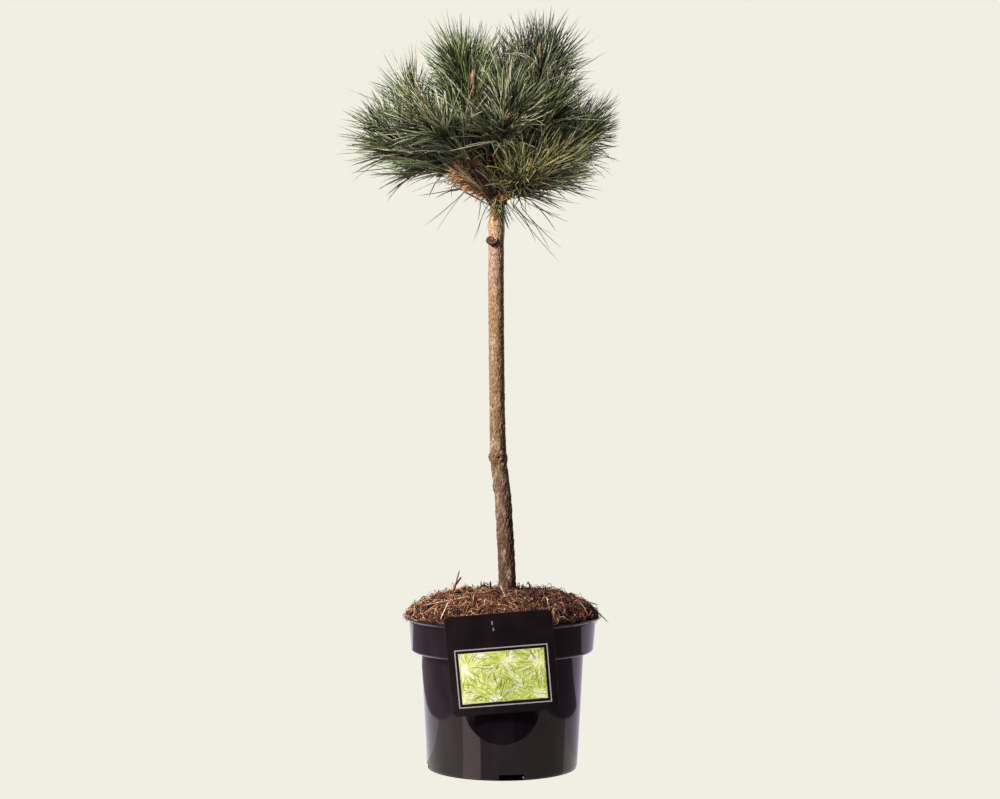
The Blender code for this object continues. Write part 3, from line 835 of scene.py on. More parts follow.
# The stub's bark goes nearly black towards its lower side: painted shade under the stub.
STUB_COLOURS = (
    (0.602, (0.060, 0.030, 0.024)),
    (0.606, (0.150, 0.078, 0.052)),
    (0.612, (0.520, 0.330, 0.190)),
)
stub_bark = bark_finish(
    "stub_bark",
    STUB_COLOURS,
    patch=(0.340, 0.210, 0.120),
    fleck=(0.42, 0.32, 0.26),
    crack=(0.60, 0.50, 0.45),
)
add_piece("bark_stub", groove_mesh("bark_stub", [stub_part], [stub_bark, *cut_woods], slots), "bark")
print("stub rings:", len(STUB_RINGS))

# %% [markdown]
# ## The courses of the boughs and shoots
#
# Each bough leaves the stem at an angle, runs out and turns up towards its tip. Bezier curves give that
# line with four values: where it starts, where it ends and the heading at each end. The table names the
# tips by azimuth, reach and height, so that the crown's outline can be read from it. Short twigs leave each
# leafy shoot in turn, a golden angle apart, and bend back towards the shoot's own heading.

# %% Work out the courses
# Each mass has the height and radius of its limb's root, and the azimuth, reach and height of each tip.
CROWN = {
    "top": (0.716, 0.0042, ((342, 0.053, 0.807), (30, 0.042, 0.798))),
    "left": (0.655, 0.0056, ((186, 0.129, 0.722), (161, 0.103, 0.769))),
    "front_left": (0.668, 0.0036, ((224, 0.094, 0.728),)),
    "upper_left": (0.692, 0.0038, ((214, 0.047, 0.795), (150, 0.044, 0.806))),
    "right": (0.666, 0.0044, ((5, 0.092, 0.734), (33, 0.098, 0.726))),
    "right_low": (0.654, 0.0037, ((322, 0.078, 0.680),)),
    "front": (0.676, 0.0038, ((277, 0.084, 0.748),)),
    "front_right": (0.690, 0.0036, ((318, 0.078, 0.750),)),
    "front_low": (0.643, 0.0036, ((292, 0.070, 0.670),)),
    "back_left": (0.664, 0.0041, ((128, 0.104, 0.738), (148, 0.104, 0.703))),
    "back_right": (0.676, 0.0039, ((50, 0.092, 0.722),)),
    "back_high": (0.700, 0.0036, ((88, 0.060, 0.796),)),
    "back_low": (0.652, 0.0036, ((92, 0.086, 0.694),)),
}
CROWN_MIDDLE = -0.005
COURSE_STEPS = 36
LIMB_STEPS = 15
FORK_STEP = 18
BEND = 0.36
FIRST_RISE = (math.radians(36.0), 0.2)
LAST_RISE = (math.radians(-22.0), 2.0)
STEEPEST_RISE = math.radians(84.0)
TIP_RADIUS = 0.0021
GOLDEN_ANGLE = math.radians(137.508)
UPRIGHT = Vector((0.0, 0.0, 1.0))
TWIG_STEPS = 8
TWIG_SHARES = (0.28, 0.48, 0.66, 0.82)
TWIG_LENGTHS = (0.016, 0.030)
TWIG_TILTS = (math.radians(38.0), math.radians(58.0))
TWIG_TURN_SPREAD = 0.4
TWIG_PULL = 0.15


def crown_place(azimuth, reach, height):
    """A place in the crown, from its azimuth in degrees, its reach and its height."""
    level = direction(math.radians(azimuth), 0.0) * reach
    return Vector((CROWN_MIDDLE + level.x, level.y, height))


def final_heading(root, tip):
    """Where a shoot points at its tip: a low one levels out, and a high one turns upright."""
    chord = tip - root
    rise = math.atan2(chord.z, chord.to_2d().length)
    last_rise = min(LAST_RISE[0] + LAST_RISE[1] * rise, STEEPEST_RISE)
    return direction(math.atan2(chord.y, chord.x), last_rise)


def course(start, heading, tip, finish, steps=COURSE_STEPS):
    """Points along the curve of a shoot that leaves start on one heading and ends on another."""
    handle = BEND * (tip - start).length
    return interpolate_bezier(start, start + heading * handle, tip - finish * handle, tip, steps + 1)


def mass_courses(name):
    """The main course of a mass, from the stem's middle to its tip, and its side shoots' courses."""
    root_height, _, tips = CROWN[name]
    root = stem_place(root_height)
    ends = [crown_place(*tip) for tip in tips]
    chord = ends[0] - root
    rise = math.atan2(chord.z, chord.to_2d().length)
    heading = direction(math.atan2(chord.y, chord.x), FIRST_RISE[0] + FIRST_RISE[1] * rise)
    if name == "top":
        heading = UPRIGHT
    main = course(root, heading, ends[0], final_heading(root, ends[0]))
    fork = main[FORK_STEP]
    along = (main[FORK_STEP + 1] - fork).normalized()
    return main, [course(fork, along, end, final_heading(root, end)) for end in ends[1:]]


def side_twigs(points, rng, first_turn):
    """Short twigs that leave a leafy shoot in turn and bend back towards its heading."""
    twigs = []
    for number, share in enumerate(TWIG_SHARES):
        step = round(share * (len(points) - 1))
        heading = (points[step + 1] - points[step - 1]).normalized()
        side = heading.orthogonal().normalized()
        turn = first_turn + number * GOLDEN_ANGLE + rng.uniform(-TWIG_TURN_SPREAD, TWIG_TURN_SPREAD)
        outwards = side * math.cos(turn) + heading.cross(side) * math.sin(turn)
        tilt = rng.uniform(*TWIG_TILTS)
        way = heading * math.cos(tilt) + outwards * math.sin(tilt)
        pulled = (way + (heading + UPRIGHT) * TWIG_PULL).normalized()
        tip = points[step] + pulled * rng.uniform(*TWIG_LENGTHS)
        twigs.append(course(points[step], way, tip, (heading + way).normalized(), TWIG_STEPS))
    return twigs


COURSES = {}
TWIGS = {}
for number, name in enumerate(CROWN):
    main, sides = mass_courses(name)
    COURSES[name] = (main, sides)
    rng = random.Random(number)
    TWIGS[name] = side_twigs(main[LIMB_STEPS:], rng, number)
    for side_shoot in sides:
        TWIGS[name] += side_twigs(side_shoot, rng, number + 2.0)
shoot_count = sum(1 + len(sides) for _, sides in COURSES.values())
print("shoots:", shoot_count, "twigs:", sum(map(len, TWIGS.values())))

# %% [markdown]
# ## The boughs
#
# Boughs are swept as the stem is, with fewer sides. They start inside the stem, where its bark hides the
# joint, and stop about where the needles begin. The bark up here is papery and orange.

# %% Sweep the boughs
BOUGH_COLOURS = (
    (0.60, (0.420, 0.200, 0.085)),
    (0.68, (0.360, 0.160, 0.065)),
    (0.72, (0.200, 0.095, 0.048)),
)
bough_bark = bark_finish(
    "bough_bark",
    BOUGH_COLOURS,
    patch=(0.600, 0.330, 0.160),
    fleck=(0.26, 0.18, 0.14),
    crack=(0.20, 0.12, 0.09),
)
LIMB_SIDES = 22
LIMB_PLATES = (0.0032, 1.2)
LIMB_LIFT = 0.0009
LIMB_LEVEL = 0.7
LIMB_GROOVE = 0.8
LIMB_GRAIN = 420.0
LIMB_GRAIN_LIFT = 0.0003


def bough_relief(place, outwards):
    """Papery bark: low plates with a fine grain on them."""
    plate = plates(place, *LIMB_PLATES)
    lift = LIMB_LIFT * (plate - LIMB_LEVEL) + LIMB_GRAIN_LIFT * noise.noise(place * LIMB_GRAIN)
    return lift, (1.0 - plate) * LIMB_GROOVE


def wood_radius(name, share):
    """The radius of a mass's limb at a share of its course."""
    root_radius = CROWN[name][1]
    return root_radius + (TIP_RADIUS - root_radius) * share


bough_parts = []
for name, (main, _) in COURSES.items():
    if name == "top":
        continue
    finer = [a.lerp(b, share) for a, b in zip(main[:LIMB_STEPS], main[1:]) for share in (0.0, 0.5)]
    finer.append(main[LIMB_STEPS])
    radii = [wood_radius(name, LIMB_STEPS / COURSE_STEPS * i / (len(finer) - 1)) for i in range(len(finer))]
    bough_parts.append(swept_limb(finer, radii, LIMB_SIDES, bough_relief))
boughs = [f"bough_{name}" for name in CROWN if name != "top"]
add_piece("bark_boughs", groove_mesh("bark_boughs", bough_parts, [bough_bark]), "bark", boughs)
print("boughs:", len(bough_parts))

# %% [markdown]
# ## The leafy shoots and their buds
#
# Past the bough each shoot is covered by the brown sheaths from which the needles grow, and it ends in a
# bud. The sheaths are relief on a swept limb. A bud is a swept limb too, whose radii swell and close to a
# point, with a pattern of scales in its relief.

# %% Sweep the shoots and buds
SHOOT_COLOURS = ((0.60, (0.200, 0.100, 0.052)), (0.72, (0.120, 0.062, 0.034)))
shoot_bark = bark_finish(
    "shoot_bark",
    SHOOT_COLOURS,
    patch=(0.300, 0.180, 0.100),
    fleck=(0.30, 0.22, 0.18),
    crack=(0.25, 0.16, 0.12),
)
BUD_COLOURS = ((0.58, (0.185, 0.108, 0.064)), (0.72, (0.330, 0.205, 0.115)))
bud_scales = bark_finish(
    "bud_scales",
    BUD_COLOURS,
    patch=(0.640, 0.450, 0.290),
    fleck=(0.40, 0.26, 0.17),
    crack=(0.16, 0.09, 0.06),
)
SHOOT_RADIUS = 0.0032
SHOOT_SIDES = 12
SHEATH_PLATES = (0.0022, 1.6)
SHEATH_LIFT = 0.0010
SHEATH_GROOVE = 0.8
SHEATHED_BY = 0.25
TWIG_RADIUS = 0.0019
BUD_SIDES = 20
BUD_PLATES = (0.0021, 1.5)
BUD_LIFT = 0.0009
BUD_GROOVE = 0.9
BUD_LENGTH = 0.020
TWIG_BUD = 0.6
# The bud's radius at shares of its length.
BUD_SWELL = (
    (0.0, 0.0022),
    (0.12, 0.0031),
    (0.3, 0.0036),
    (0.55, 0.0033),
    (0.78, 0.0023),
    (0.93, 0.0011),
    (1.0, 0.0003),
)
CANDLE_SIZE = 0.84
CANDLE_LENGTH = BUD_LENGTH * CANDLE_SIZE
CANDLE_STEP = FORK_STEP + 6
# Each candle has its mass, its foot and the way that it points.
CANDLES = (
    ("front_left", (-0.0315, -0.086, 0.7730), (-0.12, -0.10, 0.99)),
    ("front", (0.0040, -0.090, 0.7290), (0.42, -0.20, 0.88)),
    ("front_right", (0.0430, -0.074, 0.8040), (-0.05, -0.10, 0.99)),
    ("front_low", (0.0420, -0.094, 0.6580), (0.90, -0.35, -0.10)),
)


def sheath_relief(place, outwards):
    """Small brown sheaths, close together."""
    sheath = plates(place, *SHEATH_PLATES)
    return SHEATH_LIFT * (sheath - 0.5), (1.0 - sheath) * SHEATH_GROOVE


def bud_relief(place, outwards):
    """The scales of a bud, with dark gaps between them."""
    scale = plates(place, *BUD_PLATES)
    return BUD_LIFT * (scale - 0.5), (1.0 - scale) * BUD_GROOVE


def shoot_and_bud(points, first_radius, last_radius, bud_size):
    """A shoot that comes to its sheaths' radius in its first quarter, and the bud at its tip."""
    count = len(points)
    growth = [min(1.0, i / count / SHEATHED_BY) for i in range(count)]
    radii = [first_radius + (last_radius - first_radius) * share for share in growth]
    shoot_parts.append(swept_limb(points, radii, SHOOT_SIDES, sheath_relief))
    way = (points[-1] - points[-2]).normalized() * (BUD_LENGTH * bud_size)
    bud_points = [points[-1] + way * share for share, _ in BUD_SWELL]
    bud_radii = [radius * bud_size for _, radius in BUD_SWELL]
    bud_parts.append(swept_limb(bud_points, bud_radii, BUD_SIDES, bud_relief))


shoot_parts, bud_parts = [], []
STALKS = {name: [] for name in CROWN}
for name, foot, way in CANDLES:
    start = COURSES[name][0][CANDLE_STEP]
    way = Vector(way).normalized()
    candle_points = course(start, (Vector(foot) - start).normalized(), Vector(foot), way, TWIG_STEPS)
    shoot_and_bud(candle_points, TWIG_RADIUS, TWIG_RADIUS, CANDLE_SIZE)
    STALKS[name].append(candle_points)
for name, (main, sides) in COURSES.items():
    start = 0 if name == "top" else LIMB_STEPS
    shoot_and_bud(main[start:], wood_radius(name, start / COURSE_STEPS), SHOOT_RADIUS, 1.0)
    for side_shoot in sides:
        shoot_and_bud(side_shoot, TIP_RADIUS, SHOOT_RADIUS, 1.0)
    for twig in TWIGS[name]:
        shoot_and_bud(twig, TWIG_RADIUS, TWIG_RADIUS, TWIG_BUD)
add_piece("leafy_shoots", groove_mesh("leafy_shoots", shoot_parts, [shoot_bark]), "bark")
add_piece("buds", groove_mesh("buds", bud_parts, [bud_scales]), "bark")
print("buds:", len(bud_parts))

# %% [markdown]
# ## The needles
#
# Pine needles grow in pairs from short brown sheaths, set in a spiral round the shoot. Near the foot of a
# shoot they stand wide of it, and near the tip they close round the bud like a brush. Each is stiff, about
# as long as a finger and gently curved. The greens are dealt out from pair to pair, because a pattern can't
# be seen on a needle a millimetre and a half wide. A few pale ones among dark ones give the silvery look of
# the crown: the pale green is partly a painted highlight, and the deepest green is partly painted shade.

# %% Mix the greens
# The pale green is partly a painted highlight, and the deep green partly painted shade of the crown's inside.
GREENS = [
    plain_finish("needle_sheath", (0.200, 0.115, 0.070), 0.85, 0.2),
    plain_finish("needle_deep_partly_shade", (0.011, 0.013, 0.006), 0.40),
    plain_finish("needle_green", (0.080, 0.092, 0.031), 0.36),
    plain_finish("needle_blue", (0.094, 0.114, 0.064), 0.34),
    plain_finish("needle_pale_partly_highlight", (0.370, 0.370, 0.230), 0.34),
    plain_finish("needle_bright", (0.170, 0.235, 0.058), 0.36),
    plain_finish("needle_yellow", (0.370, 0.330, 0.090), 0.42),
    plain_finish("needle_olive", (0.200, 0.150, 0.072), 0.55),
    plain_finish("needle_dead", (0.130, 0.068, 0.042), 0.75, 0.3),
]
SHEATH, DEEP, GREEN, BLUE, PALE, BRIGHT, YELLOW, OLIVE, DEAD = range(len(GREENS))
USUAL_MIX = {DEEP: 36, GREEN: 23, BLUE: 14, PALE: 17, BRIGHT: 5, OLIVE: 4, DEAD: 1}
# The top's mix is darker as painted shade, and the right's mix is paler as painted light.
MIXES = {
    "upper_left": {DEEP: 37, GREEN: 25, BLUE: 8, PALE: 9, BRIGHT: 17, YELLOW: 3, DEAD: 1},
    "left": {DEEP: 30, GREEN: 25, BLUE: 22, PALE: 14, BRIGHT: 7, OLIVE: 2},
    "front_low": {DEEP: 30, GREEN: 20, PALE: 9, BRIGHT: 7, YELLOW: 10, OLIVE: 16, DEAD: 8},
    "right_low": {DEEP: 36, GREEN: 23, BLUE: 12, PALE: 12, BRIGHT: 5, YELLOW: 7, OLIVE: 5},
    "right": {DEEP: 32, GREEN: 23, BLUE: 18, PALE: 21, BRIGHT: 4, OLIVE: 2},
    "top": {DEEP: 68, GREEN: 13, BLUE: 6, PALE: 8, BRIGHT: 4, OLIVE: 1},
    "back_high": {DEEP: 60, GREEN: 20, BLUE: 8, PALE: 8, BRIGHT: 4},
}
OLD_MIX = {DEEP: 36, OLIVE: 14, DEAD: 34, PALE: 12, GREEN: 4}
print("needle finishes:", len(GREENS))

# %% Grow the needles of a mass
SHOOT_PAIRS = 128
TWIG_PAIRS = 35
STALK_PAIRS = 44
SPARSE = {
    "back_left": 0.5,
    "back_right": 0.5,
    "back_low": 0.5,
    "back_high": 0.7,
    "right": 0.8,
    "right_low": 0.8,
}
FIRST_STEPS = {"left": 9}
USUAL_FIRST_STEP = FORK_STEP - 4
LAST_NEEDLE = 0.95
CROWDING = 0.9
NEEDLE_LENGTH = 0.066
NEEDLE_LENGTHS = (0.78, 1.10)
TWIG_NEEDLE_SHARE = 0.92
NEEDLE_RADIUS = 0.00076
NEEDLE_WIDTHS = (0.80, 1.20)
# The needle's width at shares of its length.
NEEDLE_RINGS = ((0.0, 0.80), (0.055, 0.92), (0.30, 1.0), (0.60, 0.92), (0.85, 0.62))
TILTS = (math.radians(66.0), math.radians(24.0))
TILT_SPREAD = math.radians(17.0)
TILT_LIMITS = (0.04, 1.5)
SPIRAL_SPREAD = 0.25
CROWN_FOOT = (0.0, 0.0, 0.655)
SWEEP = 0.66
NEEDLE_LIFT = 0.20
LOWEST = -0.18
TURN_SHARPNESS = 6.0
PAIR_SPREAD = 0.05
PAIR_LENGTHS = (0.92, 1.02)
BEND_SPREAD = 0.0095
DROOP = 0.0030
CROWN_MARGIN = 0.002
CROWN_LOW = np.array([cad_low[0], cad_low[1], SOIL_TOP]) - CROWN_MARGIN
CROWN_HIGH = np.array(cad_high) + CROWN_MARGIN
SHORTEST = 0.5
SMALLEST_REACH = 1e-6


def course_samples(points, shares):
    """Places and headings at shares of a course's length."""
    line = np.array([tuple(point) for point in points])
    steps = np.diff(line, axis=0)
    ends = np.concatenate([[0.0], np.cumsum(np.linalg.norm(steps, axis=1))])
    distance = shares * ends[-1]
    index = np.clip(np.searchsorted(ends, distance, side="right") - 1, 0, len(steps) - 1)
    heading = normalised(steps)[index]
    return line[index] + heading * (distance - ends[index])[:, None], heading


def round_heading(headings, turns):
    """Directions square to the headings, at turns round them."""
    helper = np.where(np.abs(headings[:, 2:3]) < 0.9, [[0.0, 0.0, 1.0]], [[1.0, 0.0, 0.0]])
    side = normalised(np.cross(headings, helper))
    other = np.cross(headings, side)
    return side * np.cos(turns)[:, None] + other * np.sin(turns)[:, None]


def pair_batch(points, count, size, draw):
    """Roots, ways and lengths of the needle pairs along one leafy shoot or twig."""
    order = np.arange(count)
    shares = LAST_NEEDLE * ((order + 0.5) / count) ** CROWDING
    roots, headings = course_samples(points, shares)
    tilts = TILTS[0] + (TILTS[1] - TILTS[0]) * shares + draw.normal(0.0, TILT_SPREAD, count)
    tilts = np.clip(tilts, *TILT_LIMITS)
    outwards = round_heading(headings, order * GOLDEN_ANGLE + draw.normal(0.0, SPIRAL_SPREAD, count))
    ways = headings * np.cos(tilts)[:, None] + outwards * np.sin(tilts)[:, None]
    ways += SWEEP * normalised(roots - np.array(CROWN_FOOT))
    ways[:, 2] += NEEDLE_LIFT
    ways = normalised(ways)
    ways[:, 2] = LOWEST + np.log1p(np.exp((ways[:, 2] - LOWEST) * TURN_SHARPNESS)) / TURN_SHARPNESS
    return roots, normalised(ways), NEEDLE_LENGTH * size * draw.uniform(*NEEDLE_LENGTHS, count)


def needle_piece(name, roots, ways, lengths, mix, draw, replaced=(), thickness=1.0):
    """One piece of needle pairs. The two needles of a pair part a little and bend on their own."""
    count = len(roots)
    apart = normalised(np.cross(ways, draw.normal(size=(count, 3)))) * PAIR_SPREAD
    both_ways = normalised(np.concatenate([ways + apart, ways - apart]))
    both_roots = np.concatenate([roots, roots])
    both_lengths = np.concatenate([lengths, lengths * draw.uniform(*PAIR_LENGTHS, count)])
    bends = draw.normal(0.0, BEND_SPREAD, (2 * count, 3))
    bends[:, 2] -= DROOP
    reaches = both_ways * both_lengths[:, None] + bends
    room = np.where(reaches > 0.0, CROWN_HIGH, CROWN_LOW) - both_roots
    safe_reaches = np.where(np.abs(reaches) < SMALLEST_REACH, SMALLEST_REACH, reaches)
    kept = np.clip((room / safe_reaches).min(axis=1), SHORTEST, 1.0)
    shares = [share for share, _ in NEEDLE_RINGS] + [1.0]
    lines = bent_lines(both_roots, both_ways, both_lengths * kept, bends * kept[:, None], shares)
    radii = NEEDLE_RADIUS * thickness * draw.uniform(*NEEDLE_WIDTHS, 2 * count)
    widths = [width for _, width in NEEDLE_RINGS]
    steady = draw.normal(size=(2 * count, 3))
    points, corners, ring_of = skinned(lines, radii, widths, steady)
    colours = np.repeat(np.tile(dealt(mix, count, draw), 2), len(corners) // (2 * count))
    slots = np.where(ring_of == 0, SHEATH, colours)
    add_piece(name, triangle_mesh(name, points, corners, slots, GREENS), "needles", replaced)
    return 2 * count


print("needle length:", NEEDLE_LENGTH)

# %% Grow every mass
# A bare stretch has two ends and a reach. A needle that would stand in front of it isn't grown.
BARE_FOOT = ((-0.014, 0.0, 0.664), (-0.042, 0.0, 0.682), 0.0100)
BARE_REACH = 0.0045
BARE_CANDLES = [
    (foot, tuple(foot[i] + way[i] * CANDLE_LENGTH for i in range(3)), BARE_REACH)
    for _, foot, way in CANDLES
]
WATCHED = (0.25, 0.45, 0.65, 0.85)
FIRST_SEED = 100


def stands_before(points, start, end, reach):
    """True for points that stand in front of a bare stretch, as the plant's front is seen."""
    first, along = np.array(start)[[0, 2]], np.subtract(end, start)[[0, 2]]
    spots = points[:, [0, 2]] - first
    share = np.clip(spots @ along / (along @ along), 0.0, 1.0)
    away = np.linalg.norm(spots - share[:, None] * along, axis=1)
    return (away < reach) & (points[:, 1] < min(start[1], end[1]))


def leaves_bare(roots, ways, lengths):
    """True for the needles that leave the bare stretches to be seen."""
    clear = np.ones(len(roots), dtype=bool)
    for share in WATCHED:
        spots = roots + ways * (lengths * share)[:, None]
        for stretch in [BARE_FOOT, *BARE_CANDLES]:
            clear &= ~stands_before(spots, *stretch)
    return clear


needle_total = 0
for number, (name, (main, sides)) in enumerate(COURSES.items()):
    draw = np.random.default_rng(FIRST_SEED + number)
    start = FIRST_STEPS.get(name, USUAL_FIRST_STEP)
    shoot_pairs = round(SHOOT_PAIRS * SPARSE.get(name, 1.0))
    twig_pairs = round(TWIG_PAIRS * SPARSE.get(name, 1.0))
    batches = [pair_batch(main[start:], shoot_pairs, 1.0, draw)]
    batches += [pair_batch(side_shoot[1:], shoot_pairs, 1.0, draw) for side_shoot in sides]
    batches += [pair_batch(twig, twig_pairs, TWIG_NEEDLE_SHARE, draw) for twig in TWIGS[name]]
    batches += [pair_batch(stalk, STALK_PAIRS, TWIG_NEEDLE_SHARE, draw) for stalk in STALKS[name]]
    roots, ways, lengths = (np.concatenate(values) for values in zip(*batches))
    clear = leaves_bare(roots, ways, lengths)
    roots, ways, lengths = roots[clear], ways[clear], lengths[clear]
    mix = MIXES.get(name, USUAL_MIX)
    needle_total += needle_piece(f"fine_needles_{name}", roots, ways, lengths, mix, draw, [f"needles_{name}"])
print("needles:", needle_total)

# %% [markdown]
# ## Old needles and strays
#
# The oldest needles, three or four years of age, sit on the stem's own top. They are dull green and brown
# and point upwards, and a few hang over the place where the crown begins. A small tuft of short ones hangs
# at the front. Some single pairs hang free below. Those are placed one by one, by where they leave the wood
# and where they point.

# %% Hang the old needles
OLD_COUNT = 680
OLD_HEIGHTS = (0.646, 0.730)
OLD_RISES = (math.radians(28.0), math.radians(84.0))
TUFT_COUNT = 24
TUFT_SHARE = 0.28
TUFT_HEIGHTS = (0.650, 0.668)
TUFT_AZIMUTHS = (math.radians(-116.0), math.radians(-78.0))
TUFT_RISES = (math.radians(-86.0), math.radians(-62.0))
TUFT_MIX = {YELLOW: 26, OLIVE: 24, GREEN: 22, DEEP: 18, PALE: 10}
SKIRT_COUNT = 4
SKIRT_SHARE = 0.6
SKIRT_HEIGHTS = (0.642, 0.656)
SKIRT_AZIMUTHS = (math.radians(-100.0), math.radians(-40.0))
SKIRT_RISES = (math.radians(-78.0), math.radians(-50.0))
ROOT_SINK = 0.0006
STRAY_THICKNESS = 0.86
# Each stray has a root, the way that it points and a length.
STRAYS = (
    ((-0.038, -0.012, 0.668), (-0.66, -0.10, -0.74), 0.070),
    ((-0.045, -0.008, 0.668), (-0.97, -0.15, -0.26), 0.046),
    ((-0.043, -0.006, 0.668), (-0.88, -0.10, -0.46), 0.024),
    ((-0.015, -0.010, 0.648), (-0.72, -0.20, -0.66), 0.022),
    ((-0.024, -0.008, 0.655), (-0.05, -0.20, -0.98), 0.014),
    ((0.010, -0.010, 0.650), (0.56, -0.12, -0.82), 0.062),
    ((0.022, -0.012, 0.645), (0.61, -0.12, -0.78), 0.058),
    ((0.014, -0.006, 0.648), (0.66, -0.05, -0.75), 0.040),
    ((0.035, -0.010, 0.650), (0.82, -0.10, -0.56), 0.036),
    ((0.030, -0.004, 0.650), (0.88, -0.05, -0.47), 0.040),
    ((-0.006, -0.012, 0.658), (0.45, -0.16, -0.88), 0.042),
    ((-0.003, -0.012, 0.662), (0.36, -0.12, -0.92), 0.034),
    ((0.000, -0.012, 0.656), (0.52, -0.12, -0.84), 0.030),
)


def scattered(count, heights, azimuths, rises, size, draw):
    """Roots on the stem between two heights, and ways between two azimuths and two rises."""
    height = draw.uniform(*heights, count)
    azimuth = draw.uniform(*azimuths, count)
    rise = draw.uniform(*rises, count)
    level = np.stack([np.cos(azimuth), np.sin(azimuth), np.zeros(count)], axis=1)
    centres = np.array([tuple(stem_place(z)) for z in height])
    radii = np.array([stem_radius(z) for z in height])
    ways = level * np.cos(rise)[:, None]
    ways[:, 2] = np.sin(rise)
    lengths = size * NEEDLE_LENGTH * draw.uniform(*NEEDLE_LENGTHS, count)
    return centres + level * (radii - ROOT_SINK)[:, None], ways, lengths


draw = np.random.default_rng(7)
old = scattered(OLD_COUNT, OLD_HEIGHTS, (-math.pi, math.pi), OLD_RISES, 1.0, draw)
skirt = scattered(SKIRT_COUNT, SKIRT_HEIGHTS, SKIRT_AZIMUTHS, SKIRT_RISES, SKIRT_SHARE, draw)
strays = (
    np.array([root for root, _, _ in STRAYS]),
    normalised(np.array([way for _, way, _ in STRAYS])),
    np.array([length for _, _, length in STRAYS]),
)
needle_piece("old_needles", *(np.concatenate(pair) for pair in zip(old, skirt)), OLD_MIX, draw)
needle_piece("stray_needles", *strays, {DEEP: 1, GREEN: 1}, draw, (), STRAY_THICKNESS)
draw = np.random.default_rng(8)
tuft = scattered(TUFT_COUNT, TUFT_HEIGHTS, TUFT_AZIMUTHS, TUFT_RISES, TUFT_SHARE, draw)
needle_piece("tuft_needles", *tuft, TUFT_MIX, draw, (), STRAY_THICKNESS)
print("old needles:", 2 * (OLD_COUNT + SKIRT_COUNT), "strays:", 2 * len(STRAYS), "tuft:", 2 * TUFT_COUNT)

# %% [markdown]
# ## Papery scales
#
# Young pine bark peels in thin orange curls. They cover the left bough, where the light catches them, and
# are duller and sparser on the stem's top and the other boughs. Their brighter colours on the left bough are
# partly their own and partly painted light. Each scale is a short strand that is flattened until it is a
# flake, rooted in the bark and bent off it.

# %% Peel the scales
SCALE_FINISHES = [
    plain_finish("scale_tan", (0.780, 0.520, 0.300), 0.8, 0.2),
    plain_finish("scale_orange", (0.600, 0.310, 0.120), 0.8, 0.2),
    plain_finish("scale_rust", (0.360, 0.150, 0.070), 0.8, 0.2),
    plain_finish("scale_brown", (0.120, 0.055, 0.034), 0.85, 0.2),
]
SCALE_RINGS = ((0.0, 0.7), (0.35, 1.0), (0.7, 0.8))
SCALE_RADIUS = 0.0008
SCALE_WIDTHS = (0.6, 1.3)
SCALE_FLATNESS = 0.25
SCALE_SINK = 0.9
SCALE_SCATTER = 0.40
SCALE_LENGTHS = (0.0050, 0.0150)
SCALE_TILTS = (math.radians(4.0), math.radians(38.0))
SCALE_BEND = 0.0030
LEFT_SCALES = 2000
LEFT_SCALE_RADIUS = 0.0062
STEM_SCALES = 90
STEM_SCALE_RADIUS = 0.0070
STEM_SCALE_HEIGHTS = np.linspace(0.642, 0.716, 20)
BOUGH_SCALES = 130
BOUGH_SCALE_RADIUS = 0.0032
FOOT_SCALES = {"front_low": 24, "right_low": 24, "right": 50, "back_low": 50}
# The left bough's bright mix is partly painted light where the light catches the scales.
BRIGHT_SCALES = {0: 40, 1: 40, 2: 13, 3: 7}
DULL_SCALES = {0: 8, 1: 20, 2: 34, 3: 38}


def scale_batch(points, radius, count, draw):
    """Roots, ways and flattening directions of the scales along one limb."""
    roots, headings = course_samples(points, draw.uniform(0.0, 1.0, count))
    outwards = round_heading(headings, draw.uniform(0.0, math.tau, count))
    tilts = draw.uniform(*SCALE_TILTS, count)[:, None]
    ways = headings * np.cos(tilts) + outwards * np.sin(tilts) + draw.normal(0.0, SCALE_SCATTER, (count, 3))
    return roots + outwards * (radius * SCALE_SINK), normalised(ways), outwards


def scale_piece(name, batches, mix, draw):
    """A piece of scales, lit by both lamps as the needles are."""
    roots, ways, outwards = (np.concatenate(values) for values in zip(*batches))
    count = len(roots)
    bends = draw.normal(0.0, SCALE_BEND, (count, 3))
    shares = [share for share, _ in SCALE_RINGS] + [1.0]
    lines = bent_lines(roots, ways, draw.uniform(*SCALE_LENGTHS, count), bends, shares)
    radii = SCALE_RADIUS * draw.uniform(*SCALE_WIDTHS, count)
    widths = [width for _, width in SCALE_RINGS]
    strands = skinned(lines, radii, widths, outwards, SCALE_FLATNESS)
    foliage.objects.link(strand_piece(name, "bark", strands, dealt(mix, count, draw), SCALE_FINISHES, False))
    print(name, count)


draw = np.random.default_rng(11)
left_limb = COURSES["left"][0][2:LIMB_STEPS]
left_batch = scale_batch(left_limb, LEFT_SCALE_RADIUS, LEFT_SCALES, draw)
scale_piece("scales_left", [left_batch], BRIGHT_SCALES, draw)
stem_top = [stem_place(height) for height in STEM_SCALE_HEIGHTS]
batches = [scale_batch(stem_top, STEM_SCALE_RADIUS, STEM_SCALES, draw)]
for name, (main, _) in COURSES.items():
    if name not in ("left", "top"):
        count = FOOT_SCALES.get(name, BOUGH_SCALES)
        batches.append(scale_batch(main[3:FORK_STEP], BOUGH_SCALE_RADIUS, count, draw))
scale_piece("scales_crown", batches, DULL_SCALES, draw)

# %% [markdown]
# ## The pot
#
# A nursery pot is blow-moulded in thin black plastic: a flared lip, a collar to grip, and a body that
# narrows to a foot with drainage channels. It is turned, so the Screw modifier on one outline makes it, and
# the same outline set inwards makes the inner wall. The channels are cut by boxes. Its front has a shallow
# round dish, as many pots have for a label, which is cut by a lens that follows the wall.

